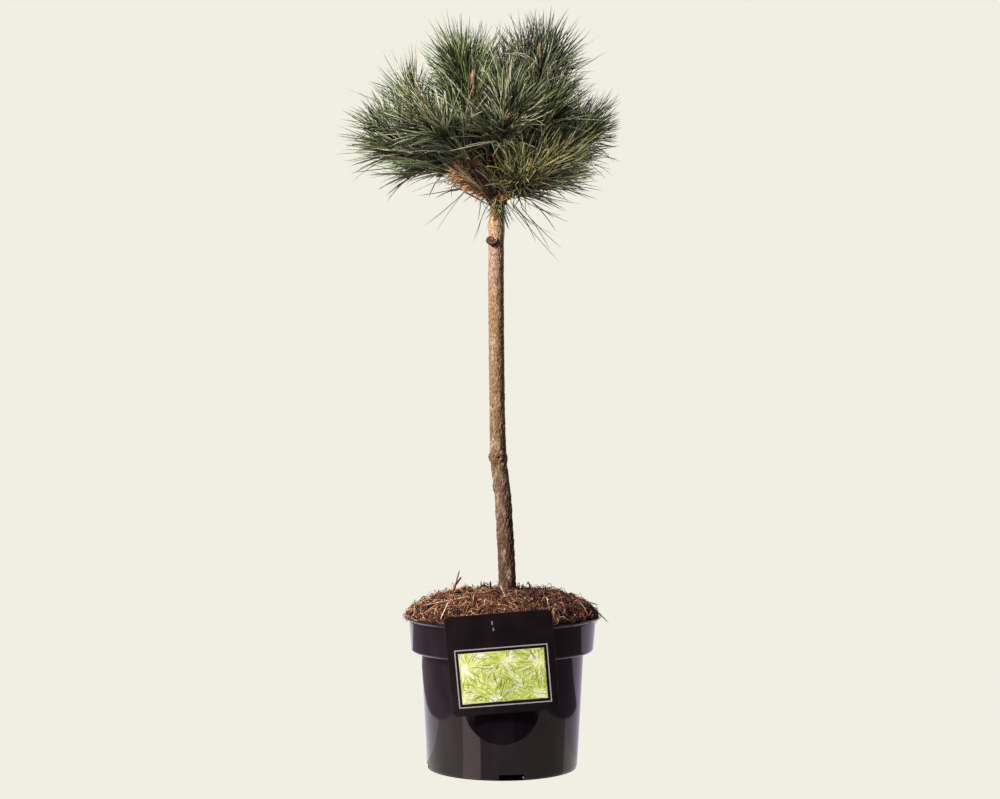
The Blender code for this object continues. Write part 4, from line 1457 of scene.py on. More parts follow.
# %% Turn the pot
POT_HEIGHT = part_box("pot")[1][2]
RIM_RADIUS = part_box("pot")[1][0]
POT_WALL = 0.0016
LIP_DROP = 0.0050
COLLAR_TOP_RADIUS = 0.108
COLLAR_FOOT_RADIUS = 0.1055
COLLAR_FOOT_HEIGHT = 0.138
COLLAR_ROUNDING = 0.004
BODY_TOP_RADIUS = 0.094
BODY_TOP_HEIGHT = 0.1325
BODY_FOOT_RADIUS = 0.087
FOOT_ROUNDING = 0.004
POT_FLOOR = 0.0095
POT_SIDES = 240


def quarter_round(start, end, steps, upright=False):
    """Points from one corner of a quarter ellipse to the other, without the first."""
    points = []
    for i in range(1, steps + 1):
        turn = math.pi / 2 * i / steps
        along, across = math.sin(turn), 1 - math.cos(turn)
        if upright:
            along, across = across, along
        points.append((start[0] + (end[0] - start[0]) * along, start[1] + (end[1] - start[1]) * across))
    return points


def lip_corners(inset):
    """The outer edge of the lip and the collar's top, moved inwards by inset."""
    lip = (RIM_RADIUS, POT_HEIGHT - POT_WALL + inset)
    return lip, (COLLAR_TOP_RADIUS - inset, lip[1] - LIP_DROP - inset)


def pot_outline(inset):
    """(radius, height) points down the pot's side, from lip to axis, moved inwards by inset."""
    lip, collar_top = lip_corners(inset)
    collar_foot = (COLLAR_FOOT_RADIUS - inset, COLLAR_FOOT_HEIGHT)
    ledge = (collar_foot[0] - COLLAR_ROUNDING, COLLAR_FOOT_HEIGHT - COLLAR_ROUNDING + inset)
    body_top = (BODY_TOP_RADIUS - inset, BODY_TOP_HEIGHT + inset)
    body_foot = (BODY_FOOT_RADIUS - inset, FOOT_ROUNDING + inset)
    underside = (body_foot[0] - FOOT_ROUNDING, inset)
    outline = [lip]
    outline += quarter_round(lip, collar_top, 10)
    outline += [collar_foot]
    outline += quarter_round(collar_foot, ledge, 8, upright=True)
    outline += [body_top, body_foot]
    outline += quarter_round(body_foot, underside, 6, upright=True)
    return outline + [(0.0, inset)]


def above_floor(inset):
    """The inner outline, cut off at the pot's floor."""
    upper = [point for point in pot_outline(inset) if point[1] > POT_FLOOR + inset]
    return upper + [(BODY_FOOT_RADIUS - inset, POT_FLOOR + inset), (0.0, POT_FLOOR + inset)]


def turned_object(name, profile, sides):
    """A profile turned about +Z. It runs down the outer side, so that the faces point out."""
    mesh = bpy.data.meshes.new(name)
    mesh.from_pydata([(r, 0.0, z) for r, z in profile], [(i, i + 1) for i in range(len(profile) - 1)], [])
    turner = bpy.data.objects.new(name, mesh)
    bpy.context.scene.collection.objects.link(turner)
    screw = turner.modifiers.new("turn", "SCREW")
    screw.steps = sides
    screw.render_steps = sides
    screw.use_merge_vertices = True
    screw.merge_threshold = 0.00005
    return turner


def settled_mesh(obj):
    """The object's mesh with its modifiers applied."""
    bpy.context.view_layer.update()
    graph = bpy.context.evaluated_depsgraph_get()
    return bpy.data.meshes.new_from_object(obj.evaluated_get(graph))


turner = turned_object("nursery_pot", above_floor(POT_WALL)[::-1] + pot_outline(0.0), POT_SIDES)
print("outline points:", len(turner.data.vertices))

# %% Cut the channels and the dish
CHANNEL_COUNT = 4
FRONT_CHANNEL = math.radians(277.0)
CHANNEL_WIDTH = 0.028
CHANNEL_HEIGHT = 0.007
CHANNEL_INNER = 0.062
CHANNEL_OUTER = 0.098
CHANNEL_BELOW = 0.004
DISH_HEIGHT = 0.0858
DISH_RADIUS = 0.0450
DISH_DEPTH = 0.0026
DISH_CLEAR = 0.004
BOSS_RIM = 0.0006
BOSS_EXTRA = 0.002
RIM_TOLERANCE = 0.0002
RIM_DEPTH = 0.0005
POT_CREASE = math.radians(30.0)
DISH_RINGS = 22
DISH_SIDES = 96


def wall_radius(height, inset):
    """The radius of the body's wall at a height."""
    share = (height - FOOT_ROUNDING) / (BODY_TOP_HEIGHT - FOOT_ROUNDING)
    return BODY_FOOT_RADIUS + (BODY_TOP_RADIUS - BODY_FOOT_RADIUS) * share - inset


def on_wall(across, height, inset):
    """A point of the front wall, with across measured round it from the front."""
    turn = across / wall_radius(height, 0.0) - math.pi / 2
    radius = wall_radius(height, inset)
    return (radius * math.cos(turn), radius * math.sin(turn), height)


def lens(name, near_inset, rim_inset, far_inset, radius):
    """A closed lens on the wall, from a dished side at near_inset to a plain side at far_inset."""
    points = []
    for ring in range(DISH_RINGS, 0, -1):
        share = ring / DISH_RINGS
        inset = near_inset + (rim_inset - near_inset) * share**2
        for k in range(DISH_SIDES):
            turn = math.tau * k / DISH_SIDES
            place = (radius * share * math.cos(turn), DISH_HEIGHT + radius * share * math.sin(turn))
            points.append(on_wall(*place, inset))
    middle = len(points)
    points.append(on_wall(0.0, DISH_HEIGHT, near_inset))
    far = len(points)
    for k in range(DISH_SIDES):
        turn = math.tau * k / DISH_SIDES
        points.append(on_wall(radius * math.cos(turn), DISH_HEIGHT + radius * math.sin(turn), far_inset))
    far_middle = len(points)
    points.append(on_wall(0.0, DISH_HEIGHT, far_inset))
    faces = []
    for k in range(DISH_SIDES):
        after = (k + 1) % DISH_SIDES
        for ring in range(DISH_RINGS - 1):
            a, b = ring * DISH_SIDES + k, ring * DISH_SIDES + after
            faces.append((a, a + DISH_SIDES, b + DISH_SIDES, b))
        faces.append((middle - DISH_SIDES + k, middle, middle - DISH_SIDES + after))
        faces.append((k, after, far + after, far + k))
        faces.append((far + k, far + after, far_middle))
    mesh = bpy.data.meshes.new(name)
    mesh.from_pydata(points, [], faces)
    cage = bmesh.new()
    cage.from_mesh(mesh)
    bmesh.ops.recalc_face_normals(cage, faces=cage.faces)
    cage.to_mesh(mesh)
    cage.free()
    return bpy.data.objects.new(name, mesh)


def channel(number):
    """A box that cuts one drainage channel through the foot."""
    size = (CHANNEL_OUTER - CHANNEL_INNER, CHANNEL_WIDTH, CHANNEL_HEIGHT + CHANNEL_BELOW)
    centre = ((CHANNEL_OUTER + CHANNEL_INNER) / 2, 0.0, (CHANNEL_HEIGHT - CHANNEL_BELOW) / 2)
    cage = bmesh.new()
    bmesh.ops.create_cube(cage, size=1.0)
    bmesh.ops.scale(cage, vec=Vector(size), verts=cage.verts)
    bmesh.ops.translate(cage, vec=Vector(centre), verts=cage.verts)
    turn = Matrix.Rotation(FRONT_CHANNEL + math.tau * number / CHANNEL_COUNT, 3, "Z")
    bmesh.ops.rotate(cage, matrix=turn, verts=cage.verts)
    return bpy.data.objects.new("channel", mesh_of(cage, "channel"))


def boolean_step(obj, operation, pieces):
    """Joins or cuts an object with pieces, which are then removed."""
    group = bpy.data.collections.new("cutters")
    bpy.context.scene.collection.children.link(group)
    for piece in pieces:
        group.objects.link(piece)
    step = obj.modifiers.new("step", "BOOLEAN")
    step.operation = operation
    step.operand_type = "COLLECTION"
    step.collection = group
    obj.data = settled_mesh(obj)
    obj.modifiers.clear()
    for piece in pieces:
        bpy.data.objects.remove(piece)
    bpy.data.collections.remove(group)


boss_insets = (DISH_DEPTH + POT_WALL, POT_WALL + BOSS_RIM, POT_WALL / 2)
boss = lens("dish_boss", *boss_insets, DISH_RADIUS + BOSS_EXTRA)
boolean_step(turner, "UNION", [boss])
dish = lens("dish", DISH_DEPTH, 0.0, -DISH_CLEAR, DISH_RADIUS)
boolean_step(turner, "DIFFERENCE", [dish] + [channel(i) for i in range(CHANNEL_COUNT)])
pot_mesh = turner.data
pot_mesh.shade_smooth()
pot_mesh.set_sharp_from_angle(angle=POT_CREASE)
bpy.data.objects.remove(turner)


def on_dish_rim(place):
    """True for a point of the outer wall that lies on the dish's edge."""
    across = (math.atan2(place.y, place.x) + math.pi / 2) * wall_radius(place.z, 0.0)
    near = abs(math.hypot(across, place.z - DISH_HEIGHT) - DISH_RADIUS) < RIM_TOLERANCE
    return near and place.y < 0.0 and math.hypot(place.x, place.y) > wall_radius(place.z, RIM_DEPTH)


rim = {vertex.index for vertex in pot_mesh.vertices if on_dish_rim(vertex.co)}
for edge in pot_mesh.edges:
    if edge.vertices[0] in rim and edge.vertices[1] in rim:
        edge.use_edge_sharp = True
print("pot faces:", len(pot_mesh.polygons), "dish rim points:", len(rim))

# %% [markdown]
# ## Glossy black plastic
#
# The pot mirrors the studio: its edges are bright, where the wall turns away to the lilac boards behind,
# its foot shows the pale table and the rest is nearly black. Moulded plastic is never quite smooth, so a
# low noise bends the reflections, and fine scuffs and dust roughen them here and there.

# %% Finish the pot
DUST_STOPS = [(0.45, (0.0056, 0.0030, 0.0046)), (0.80, (0.0140, 0.0085, 0.0120))]
SMOOTHEST, ROUGHEST = 0.03, 0.11
pot_plastic = bpy.data.materials.new("pot_plastic")
nodes, links, shader = node_chain(pot_plastic)
place = nodes.new("ShaderNodeTexCoord")
dust = add_noise(nodes, links, place, 55.0, 8.0, (1.0, 1.0, 0.35))
links.new(add_ramp(nodes, links, dust, DUST_STOPS), shader.inputs["Base Color"])
gloss = nodes.new("ShaderNodeMapRange")
gloss.inputs["To Min"].default_value = SMOOTHEST
gloss.inputs["To Max"].default_value = ROUGHEST
links.new(dust, gloss.inputs["Value"])
links.new(gloss.outputs["Result"], shader.inputs["Roughness"])
shader.inputs["Specular Tint"].default_value = (1.0, 0.82, 0.88, 1.0)
waves = add_noise(nodes, links, place, 16.0, 2.0)
add_bump(nodes, links, shader, waves, 0.10, 0.004)
pot_mesh.materials.clear()
pot_mesh.materials.append(pot_plastic)
add_piece("nursery_pot", pot_mesh, "pot", ["pot"])
print("pot roughness:", SMOOTHEST, "to", ROUGHEST)

# %% Shade the ground under the pot
SHADE_INSET = 0.0015
SHADE_RADIUS = BODY_FOOT_RADIUS - SHADE_INSET
SHADE_LIFT = 0.0002
shade_ring = [direction(math.tau * k / POT_SIDES, 0.0) * SHADE_RADIUS for k in range(POT_SIDES)]
# The black disc is painted shadow on the glowing floor under the pot, seen through the drainage channels.
board("pot_shade", [(spot.x, spot.y, SHADE_LIFT) for spot in shade_ring], black_cloth, True)
print("shade radius:", round(SHADE_RADIUS, 4))

# %% [markdown]
# ## The soil
#
# Pine pots are filled with peat, bark and coconut fibre, heaped a little above the rim. The body is a dome
# with lumps that noise lifts. What the eye reads as soil is the litter on it: crumbs, red-brown fibres that
# lie in arcs, and a few pale straws. The crumbs are rough eight-sided stones, and the fibres are strands
# again.

# %% Heap the soil
GAP = 0.0003
SOIL_FLAT_RADIUS = 0.021
DOME_SHOULDER = 2.2
DOME_FULLNESS = 0.70
SOIL_RINGS = 84
SOIL_SIDES = 220
LUMP_HEIGHT = 0.0066
LUMP_MIDDLE = 0.0012
LUMP_SCALE = 82.0
GRAIN_HEIGHT = 0.0016
GRAIN_SCALE = 330.0
FRACTAL = (0.8, 2.1)
EDGE_FADE = 0.006
RING_CROWDING = 0.85
BELOW_EDGE = 0.004
SOIL_CLEAR = 0.0030


def soil_edge():
    """Where the soil's surface meets the inside of the lip."""
    lip, collar_top = lip_corners(POT_WALL + GAP)
    return quarter_round(lip, collar_top, 6)[1]


EDGE_RADIUS, EDGE_HEIGHT = soil_edge()


def soil_height(radius):
    """The height of the dome at distances from the axis."""
    share = np.clip((radius - SOIL_FLAT_RADIUS) / (EDGE_RADIUS - SOIL_FLAT_RADIUS), 0.0, 1.0)
    return EDGE_HEIGHT + (SOIL_TOP - EDGE_HEIGHT) * (1.0 - share**DOME_SHOULDER) ** DOME_FULLNESS


def lumps(x, y):
    """How far the soil's lumps and grains lift it at a place."""
    spot = Vector((x, y, 0.0))
    lump = noise.fractal(spot * LUMP_SCALE, *FRACTAL, 4)
    grain = noise.fractal(spot * GRAIN_SCALE, *FRACTAL, 3)
    return LUMP_HEIGHT * lump + GRAIN_HEIGHT * grain - LUMP_MIDDLE


soil_points = []
for ring in range(1, SOIL_RINGS + 1):
    radius = EDGE_RADIUS * (ring / SOIL_RINGS) ** RING_CROWDING
    fade = min(1.0, (EDGE_RADIUS - radius) / EDGE_FADE)
    for k in range(SOIL_SIDES):
        turn = math.tau * k / SOIL_SIDES
        x, y = radius * math.cos(turn), radius * math.sin(turn)
        soil_points.append((x, y, float(soil_height(radius)) + lumps(x, y) * fade))
inner_side = above_floor(POT_WALL + SOIL_CLEAR)
below = [(radius, z) for radius, z in inner_side if z < EDGE_HEIGHT - BELOW_EDGE and radius > 0.0]
for radius, height in below:
    for k in range(SOIL_SIDES):
        turn = math.tau * k / SOIL_SIDES
        soil_points.append((radius * math.cos(turn), radius * math.sin(turn), height))
rings = SOIL_RINGS + len(below)
top_middle, low_middle = len(soil_points), len(soil_points) + 1
soil_points += [(0.0, 0.0, SOIL_TOP + lumps(0.0, 0.0)), (0.0, 0.0, below[-1][1])]
soil_corners = []
for k in range(SOIL_SIDES):
    after = (k + 1) % SOIL_SIDES
    soil_corners.append((top_middle, k, after))
    for ring in range(rings - 1):
        a, b = ring * SOIL_SIDES + k, ring * SOIL_SIDES + after
        soil_corners += [(a, a + SOIL_SIDES, b + SOIL_SIDES), (a, b + SOIL_SIDES, b)]
    last = (rings - 1) * SOIL_SIDES
    soil_corners.append((low_middle, last + after, last + k))

PEAT_STOPS = [(0.38, (0.014, 0.006, 0.005)), (0.56, (0.060, 0.024, 0.015)), (0.76, (0.200, 0.090, 0.050))]
peat = mottled_finish("peat", 260.0, 8.0, PEAT_STOPS, 0.95, 0.15, bump=(0.9, 0.002))
soil_mesh = triangle_mesh("potting_mix", soil_points, soil_corners, np.zeros(len(soil_corners)), [peat])
add_piece("potting_mix", soil_mesh, "soil", ["soil"])
print("soil triangles:", len(soil_corners))

# %% Scatter crumbs
LITTER_FINISHES = [
    plain_finish("litter_black", (0.016, 0.008, 0.009), 0.9, 0.2),
    plain_finish("litter_brown", (0.085, 0.034, 0.021), 0.9, 0.2),
    plain_finish("litter_plum", (0.145, 0.062, 0.056), 0.9, 0.2),
    plain_finish("litter_red", (0.270, 0.098, 0.050), 0.85, 0.2),
    plain_finish("litter_orange", (0.520, 0.235, 0.100), 0.8, 0.2),
    plain_finish("litter_tan", (0.680, 0.440, 0.240), 0.75, 0.25),
    plain_finish("litter_straw", (0.820, 0.620, 0.430), 0.7, 0.3),
]
SOOT, BROWN, PLUM, RED, ORANGE, TAN, STRAW = range(len(LITTER_FINISHES))
# The sunny mix is partly painted light on the lit left, and the shady mix partly painted shade on the right.
SUNNY_MIX = {SOOT: 24, BROWN: 22, PLUM: 8, RED: 20, ORANGE: 14, TAN: 12}
SHADY_MIX = {SOOT: 30, BROWN: 22, PLUM: 26, RED: 16, ORANGE: 5, TAN: 1}
SIDE_SPREAD = 0.045
CRUMB_COUNT = 3000
CRUMB_SIZES = (0.0006, 0.0023)
CRUMB_SHAPES = (0.45, 1.5)
LITTER_EDGE = 0.1110
OCTAHEDRON = [(1, 0, 0), (-1, 0, 0), (0, 1, 0), (0, -1, 0), (0, 0, 1), (0, 0, -1)]
BELT = ((0, 2), (2, 1), (1, 3), (3, 0))
OCTAHEDRON_FACES = [(a, b, 4) for a, b in BELT] + [(b, a, 5) for a, b in BELT]


def litter_colours(places, draw):
    """Litter is redder and brighter on the pot's left and darker on its right, partly as painted light and
    shade.
    """
    count = len(places)
    sunny = places[:, 0] + draw.normal(0.0, SIDE_SPREAD, count) < 0.0
    return np.where(sunny, dealt(SUNNY_MIX, count, draw), dealt(SHADY_MIX, count, draw))


def on_soil(count, draw, edge):
    """Places on the dome, spread evenly over its plan."""
    radius = edge * np.sqrt(draw.uniform(0.0, 1.0, count))
    azimuth = draw.uniform(0.0, math.tau, count)
    x, y = radius * np.cos(azimuth), radius * np.sin(azimuth)
    lift = np.array([lumps(a, b) for a, b in zip(x, y)])
    return np.stack([x, y, soil_height(radius) + lift], axis=1)


def turned_at_random(count, draw):
    """Rotation matrices, each from a random axis and angle."""
    axes = normalised(draw.normal(size=(count, 3)))
    angles = draw.uniform(0.0, math.tau, count)[:, None, None]
    zero = np.zeros(count)
    x, y, z = axes.T
    cross = np.stack([zero, -z, y, z, zero, -x, -y, x, zero], axis=1).reshape(-1, 3, 3)
    return np.eye(3) + np.sin(angles) * cross + (1.0 - np.cos(angles)) * (cross @ cross)


draw = np.random.default_rng(21)
centres = on_soil(CRUMB_COUNT, draw, LITTER_EDGE)
sizes = draw.uniform(*CRUMB_SIZES, CRUMB_COUNT)[:, None, None]
shapes = np.array(OCTAHEDRON)[None] * draw.uniform(*CRUMB_SHAPES, (CRUMB_COUNT, 6, 1)) * sizes
crumb_points = centres[:, None, :] + shapes @ turned_at_random(CRUMB_COUNT, draw)
shift = np.arange(CRUMB_COUNT)[:, None, None] * 6
crumb_corners = (np.array(OCTAHEDRON_FACES)[None] + shift).reshape(-1, 3)
stones = (crumb_points.reshape(-1, 3), crumb_corners, None)
strand_piece("crumbs", "soil", stones, litter_colours(centres, draw), LITTER_FINISHES, False)
print("crumbs:", CRUMB_COUNT)

# %% Lay the fibres
FIBRE_POINTS = 7
FIBRE_WIDTHS = (0.6, 0.9, 1.0, 1.0, 0.9, 0.7)
FIBRE_ARCH = 1.1
FIBRE_TILT = 0.0026
FIBRE_SINK = 0.6
FIBRE_LIFT = 0.0004
FIBRE_ROLL = 0.35
SMALLEST_RADIUS = 1e-9


def fibre_piece(name, count, lengths, turns, lifts, radii, seed, mix=None):
    """Fibres that lie on the soil: arcs seen from above, whose middles stand up from it."""
    draw = np.random.default_rng(seed)
    starts = on_soil(count, draw, LITTER_EDGE)
    length = draw.uniform(*lengths, count)
    turn = draw.uniform(*turns, count) * draw.choice([-1.0, 1.0], count)
    shares = np.linspace(0.0, 1.0, FIBRE_POINTS)
    angles = draw.uniform(0.0, math.tau, count)[:, None] + turn[:, None] * shares
    step = length[:, None] / (FIBRE_POINTS - 1)
    x = starts[:, :1] + np.cumsum(np.cos(angles) * step, axis=1) - np.cos(angles[:, :1]) * step
    y = starts[:, 1:2] + np.cumsum(np.sin(angles) * step, axis=1) - np.sin(angles[:, :1]) * step
    radius = np.hypot(x, y)
    pull = np.minimum(1.0, LITTER_EDGE / np.maximum(radius, SMALLEST_RADIUS))
    x, y = x * pull, y * pull
    rise = draw.uniform(*lifts, count)[:, None] * np.sin(math.pi * np.clip(shares * FIBRE_ARCH, 0.0, 1.0))
    ground = np.array([[lumps(a, b) for a, b in zip(xs, ys)] for xs, ys in zip(x, y)])
    tilt = draw.normal(0.0, FIBRE_TILT, (count, 1)) * shares
    z = soil_height(radius * pull) + ground * FIBRE_SINK + rise + tilt + FIBRE_LIFT
    steady = normalised(draw.normal(0.0, FIBRE_ROLL, (count, 3)) + [0.0, 0.0, 1.0])
    strands = skinned(np.stack([x, y, z], axis=2), draw.uniform(*radii, count), FIBRE_WIDTHS, steady)
    colours = dealt(mix, count, draw) if mix else litter_colours(starts, draw)
    strand_piece(name, "soil", strands, colours, LITTER_FINISHES)
    print(name, count)


STRAW_MIX = {ORANGE: 36, TAN: 42, STRAW: 22}
STICK_MIX = {SOOT: 50, BROWN: 30, PLUM: 20}
fibre_piece("fibres", 4000, (0.008, 0.022), (0.3, 3.0), (0.0, 0.0040), (0.00022, 0.00044), 31)
fibre_piece("long_fibres", 1500, (0.018, 0.042), (0.3, 2.8), (0.0005, 0.0065), (0.00024, 0.00042), 32)
fibre_piece("straws", 150, (0.012, 0.034), (0.0, 1.2), (0.001, 0.006), (0.00035, 0.00060), 33, STRAW_MIX)
fibre_piece("sprigs", 260, (0.008, 0.020), (0.2, 2.4), (0.0030, 0.0105), (0.00030, 0.00055), 35)
fibre_piece("sticks", 150, (0.005, 0.014), (0.0, 0.6), (0.0015, 0.0080), (0.0006, 0.0014), 34, STICK_MIX)

# %% [markdown]
# ## Loose bits with a place of their own
#
# A snapped twig stands in the mix on the left, a long pale straw leans over the card, and a dark one hangs
# over the rim on the right. Small things like these make a pot look handled. Each is a strand between two
# given points.

# %% Place the loose bits
BIT_WIDTHS = (1.0, 0.95, 1.05, 0.95, 1.0, 0.85)
BIT_BEND = 0.0010
# Each bit has its two ends, its radius and its finish.
LOOSE_BITS = (
    ((-0.0580, -0.012, 0.1980), (-0.0520, -0.014, 0.2140), 0.0022, RED),
    ((-0.0525, -0.013, 0.2120), (-0.0490, -0.015, 0.2270), 0.0014, PLUM),
    ((-0.0530, -0.013, 0.2110), (-0.0465, -0.010, 0.2215), 0.0015, TAN),
    ((-0.0560, -0.012, 0.2010), (-0.0350, -0.020, 0.2040), 0.0016, BROWN),
    ((-0.0620, -0.012, 0.1990), (-0.0480, -0.018, 0.2060), 0.0022, BROWN),
    ((-0.0010, -0.014, 0.2080), (0.0125, -0.098, 0.1850), 0.0007, STRAW),
    ((-0.0315, -0.050, 0.2040), (-0.0350, -0.098, 0.1810), 0.0009, TAN),
    ((-0.0900, -0.040, 0.1900), (-0.0330, -0.060, 0.2030), 0.0006, TAN),
    ((-0.0600, -0.070, 0.1970), (-0.0690, -0.092, 0.1800), 0.0008, STRAW),
    ((-0.0930, -0.052, 0.1800), (-0.0700, -0.066, 0.1960), 0.0007, ORANGE),
    ((0.0960, -0.020, 0.1930), (0.1220, -0.032, 0.1690), 0.0010, SOOT),
    ((0.0800, -0.030, 0.1990), (0.1120, -0.034, 0.1880), 0.0008, SOOT),
    ((-0.0230, -0.008, 0.2040), (-0.0235, -0.010, 0.2170), 0.0004, SOOT),
    ((-0.0130, -0.012, 0.2040), (-0.0120, -0.014, 0.2140), 0.0014, SOOT),
    ((0.0290, -0.006, 0.2030), (0.0330, -0.008, 0.2120), 0.0006, SOOT),
    ((0.0620, -0.004, 0.2000), (0.0700, -0.008, 0.2080), 0.0008, BROWN),
)
roots = np.array([start for start, _, _, _ in LOOSE_BITS])
reaches = np.array([end for _, end, _, _ in LOOSE_BITS]) - roots
draw = np.random.default_rng(41)
bit_lines = bent_lines(
    roots,
    normalised(reaches),
    np.linalg.norm(reaches, axis=1),
    draw.normal(0.0, BIT_BEND, (len(roots), 3)),
    np.linspace(0.0, 1.0, FIBRE_POINTS),
)
bit_radii = np.array([radius for _, _, radius, _ in LOOSE_BITS])
strands = skinned(bit_lines, bit_radii, BIT_WIDTHS, draw.normal(size=roots.shape))
strand_piece("loose_bits", "soil", strands, [slot for _, _, _, slot in LOOSE_BITS], LITTER_FINISHES)
print("loose bits:", len(LOOSE_BITS))

# %% [markdown]
# ## The name card
#
# Plant cards are punched from satin plastic sheet. This one hangs by a tongue over the rim and leans
# against the collar. Its print is a thin frame and a picture panel, and both are given a real if tiny
# thickness, so that they stay crisp at any distance. The card is built lying flat and then stood up by one
# matrix.

# %% Cut the card
CARD_WIDTH = 0.118
CARD_HEIGHT = 0.116
CARD_THICKNESS = 0.0009
CARD_CORNER = 0.006
CARD_BEVEL = 0.0004
CARD_CENTRE_HEIGHT = 0.1338
CARD_ROLL = math.radians(4.8)
CARD_LEAN = math.radians(12.0)
HOOK_WIDTH = 0.020
HOOK_SIDEWAYS = -0.007
HOOK_THICKNESS = 0.0008
HOOK_INNER = 0.1028
HOOK_TIP_HEIGHT = 0.155
CORNER_STEPS = 8
SHARP_EDGE = 1.0
CARD_CREASE = math.radians(40.0)

lip_height = POT_HEIGHT - POT_WALL
card_drop = lip_height - CARD_CENTRE_HEIGHT
card_forward = RIM_RADIUS + GAP + CARD_THICKNESS / 2 / math.cos(CARD_LEAN) - card_drop * math.tan(CARD_LEAN)
CARD_STAND = (
    Matrix.Translation((0.0, -card_forward, CARD_CENTRE_HEIGHT))
    @ Matrix.Rotation(math.pi / 2 + CARD_LEAN, 4, "X")
    @ Matrix.Rotation(CARD_ROLL, 4, "Z")
)


def round_rectangle(width, height, corner, middle=(0.0, 0.0)):
    """The outline of a rectangle with round corners, anticlockwise."""
    points = []
    corners = ((1, 1, 0.0), (-1, 1, 0.25), (-1, -1, 0.5), (1, -1, 0.75))
    for right, up, first in corners:
        centre = (middle[0] + right * (width / 2 - corner), middle[1] + up * (height / 2 - corner))
        for i in range(CORNER_STEPS + 1):
            turn = math.tau * (first + 0.25 * i / CORNER_STEPS)
            points.append((centre[0] + corner * math.cos(turn), centre[1] + corner * math.sin(turn)))
    return points


def plate_mesh(name, outline, low, high, finish, hole=None, bevel=0.0):
    """A plate with the given outline between two heights, with a hole of like outline or none."""
    cage = bmesh.new()
    outer = [cage.verts.new((x, y, low)) for x, y in outline]
    if hole:
        inner = [cage.verts.new((x, y, low)) for x, y in hole]
        count = len(outer)
        for i in range(count):
            after = (i + 1) % count
            cage.faces.new((outer[i], inner[i], inner[after], outer[after]))
    else:
        cage.faces.new(outer[::-1])
    lifted = bmesh.ops.extrude_face_region(cage, geom=list(cage.faces))
    raised = [item for item in lifted["geom"] if isinstance(item, bmesh.types.BMVert)]
    bmesh.ops.translate(cage, vec=(0.0, 0.0, high - low), verts=raised)
    bmesh.ops.recalc_face_normals(cage, faces=cage.faces)
    if bevel:
        rims = [edge for edge in cage.edges if edge.calc_face_angle(0.0) > SHARP_EDGE]
        bmesh.ops.bevel(cage, geom=rims, offset=bevel, segments=2, profile=0.5, affect="EDGES")
    bmesh.ops.transform(cage, matrix=CARD_STAND, verts=cage.verts)
    mesh = mesh_of(cage, name)
    mesh.materials.append(finish)
    mesh.set_sharp_from_angle(angle=CARD_CREASE)
    return mesh


CARD_STOPS = [(0.4, (0.0070, 0.0034, 0.0046)), (0.8, (0.0130, 0.0075, 0.0085))]
card_plastic = mottled_finish("card_plastic", 45.0, 6.0, CARD_STOPS, 0.40, 0.12, bump=(0.06, 0.002))
half = CARD_THICKNESS / 2
card_outline = round_rectangle(CARD_WIDTH, CARD_HEIGHT, CARD_CORNER)
card_mesh = plate_mesh("card_plate", card_outline, -half, half, card_plastic, bevel=CARD_BEVEL)
add_piece("card_plate", card_mesh, "card", ["name_card"])
print("card faces:", len(card_mesh.polygons))

# %% Hook the card on the rim
hook_finish = plain_finish("hook_plastic", (0.012, 0.008, 0.010), 0.4)
card_middle = RIM_RADIUS + GAP + (POT_HEIGHT + GAP - lip_height) * math.tan(CARD_LEAN) + half
# The tongue's line, from the card over the rim and down its inner side, as (y, z).
hook_line = [
    (-card_middle, POT_HEIGHT + GAP + HOOK_THICKNESS / 2),
    (-HOOK_INNER - 0.002, POT_HEIGHT + GAP + HOOK_THICKNESS / 2),
    (-HOOK_INNER - 0.0008, POT_HEIGHT + GAP - 0.0001),
    (-HOOK_INNER - 0.0005, POT_HEIGHT - 0.003),
    (-HOOK_INNER - 0.0005, HOOK_TIP_HEIGHT),
]
cage = bmesh.new()
rows = []
for y, z in hook_line:
    rows.append([cage.verts.new((HOOK_SIDEWAYS + side * HOOK_WIDTH / 2, y, z)) for side in (-1, 1)])
for before, after in zip(rows, rows[1:]):
    cage.faces.new((before[0], before[1], after[1], after[0]))
bmesh.ops.solidify(cage, geom=list(cage.faces), thickness=HOOK_THICKNESS)
bmesh.ops.recalc_face_normals(cage, faces=cage.faces)
hook_mesh = mesh_of(cage, "card_hook")
hook_mesh.materials.append(hook_finish)
add_piece("card_hook", hook_mesh, "card")
print("hook points:", len(hook_mesh.vertices))

# %% [markdown]
# ## What is printed on the card
#
# The panel is a generic study of needles in spring greens. Its ground is a soft mottle of pale
# yellow-greens, and its strokes are flat strands that fan out from a few points. They are sunk half way
# into the panel, as ink would be.

# %% Print the frame and the panel
FRAME_WIDE, FRAME_TALL, FRAME_LINE = 0.1027, 0.0677, 0.0012
PANEL_WIDE, PANEL_TALL = 0.0944, 0.0585
PRINT_MIDDLE = (0.0, -0.0147)
PRINT_HEIGHT = 0.00012
PRINT_SINK = 0.0001
FRAME_CORNERS = (0.0006, 0.0003)
PANEL_CORNER = 0.0004
print_low, print_high = half - PRINT_SINK, half + PRINT_HEIGHT
frame_ink = plain_finish("frame_ink", (0.420, 0.370, 0.385), 0.5)
outer_line = round_rectangle(FRAME_WIDE, FRAME_TALL, FRAME_CORNERS[0], PRINT_MIDDLE)
inner_size = (FRAME_WIDE - 2 * FRAME_LINE, FRAME_TALL - 2 * FRAME_LINE)
inner_line = round_rectangle(*inner_size, FRAME_CORNERS[1], PRINT_MIDDLE)
frame_mesh = plate_mesh("card_frame", outer_line, print_low, print_high, frame_ink, inner_line)
add_piece("card_frame", frame_mesh, "card")

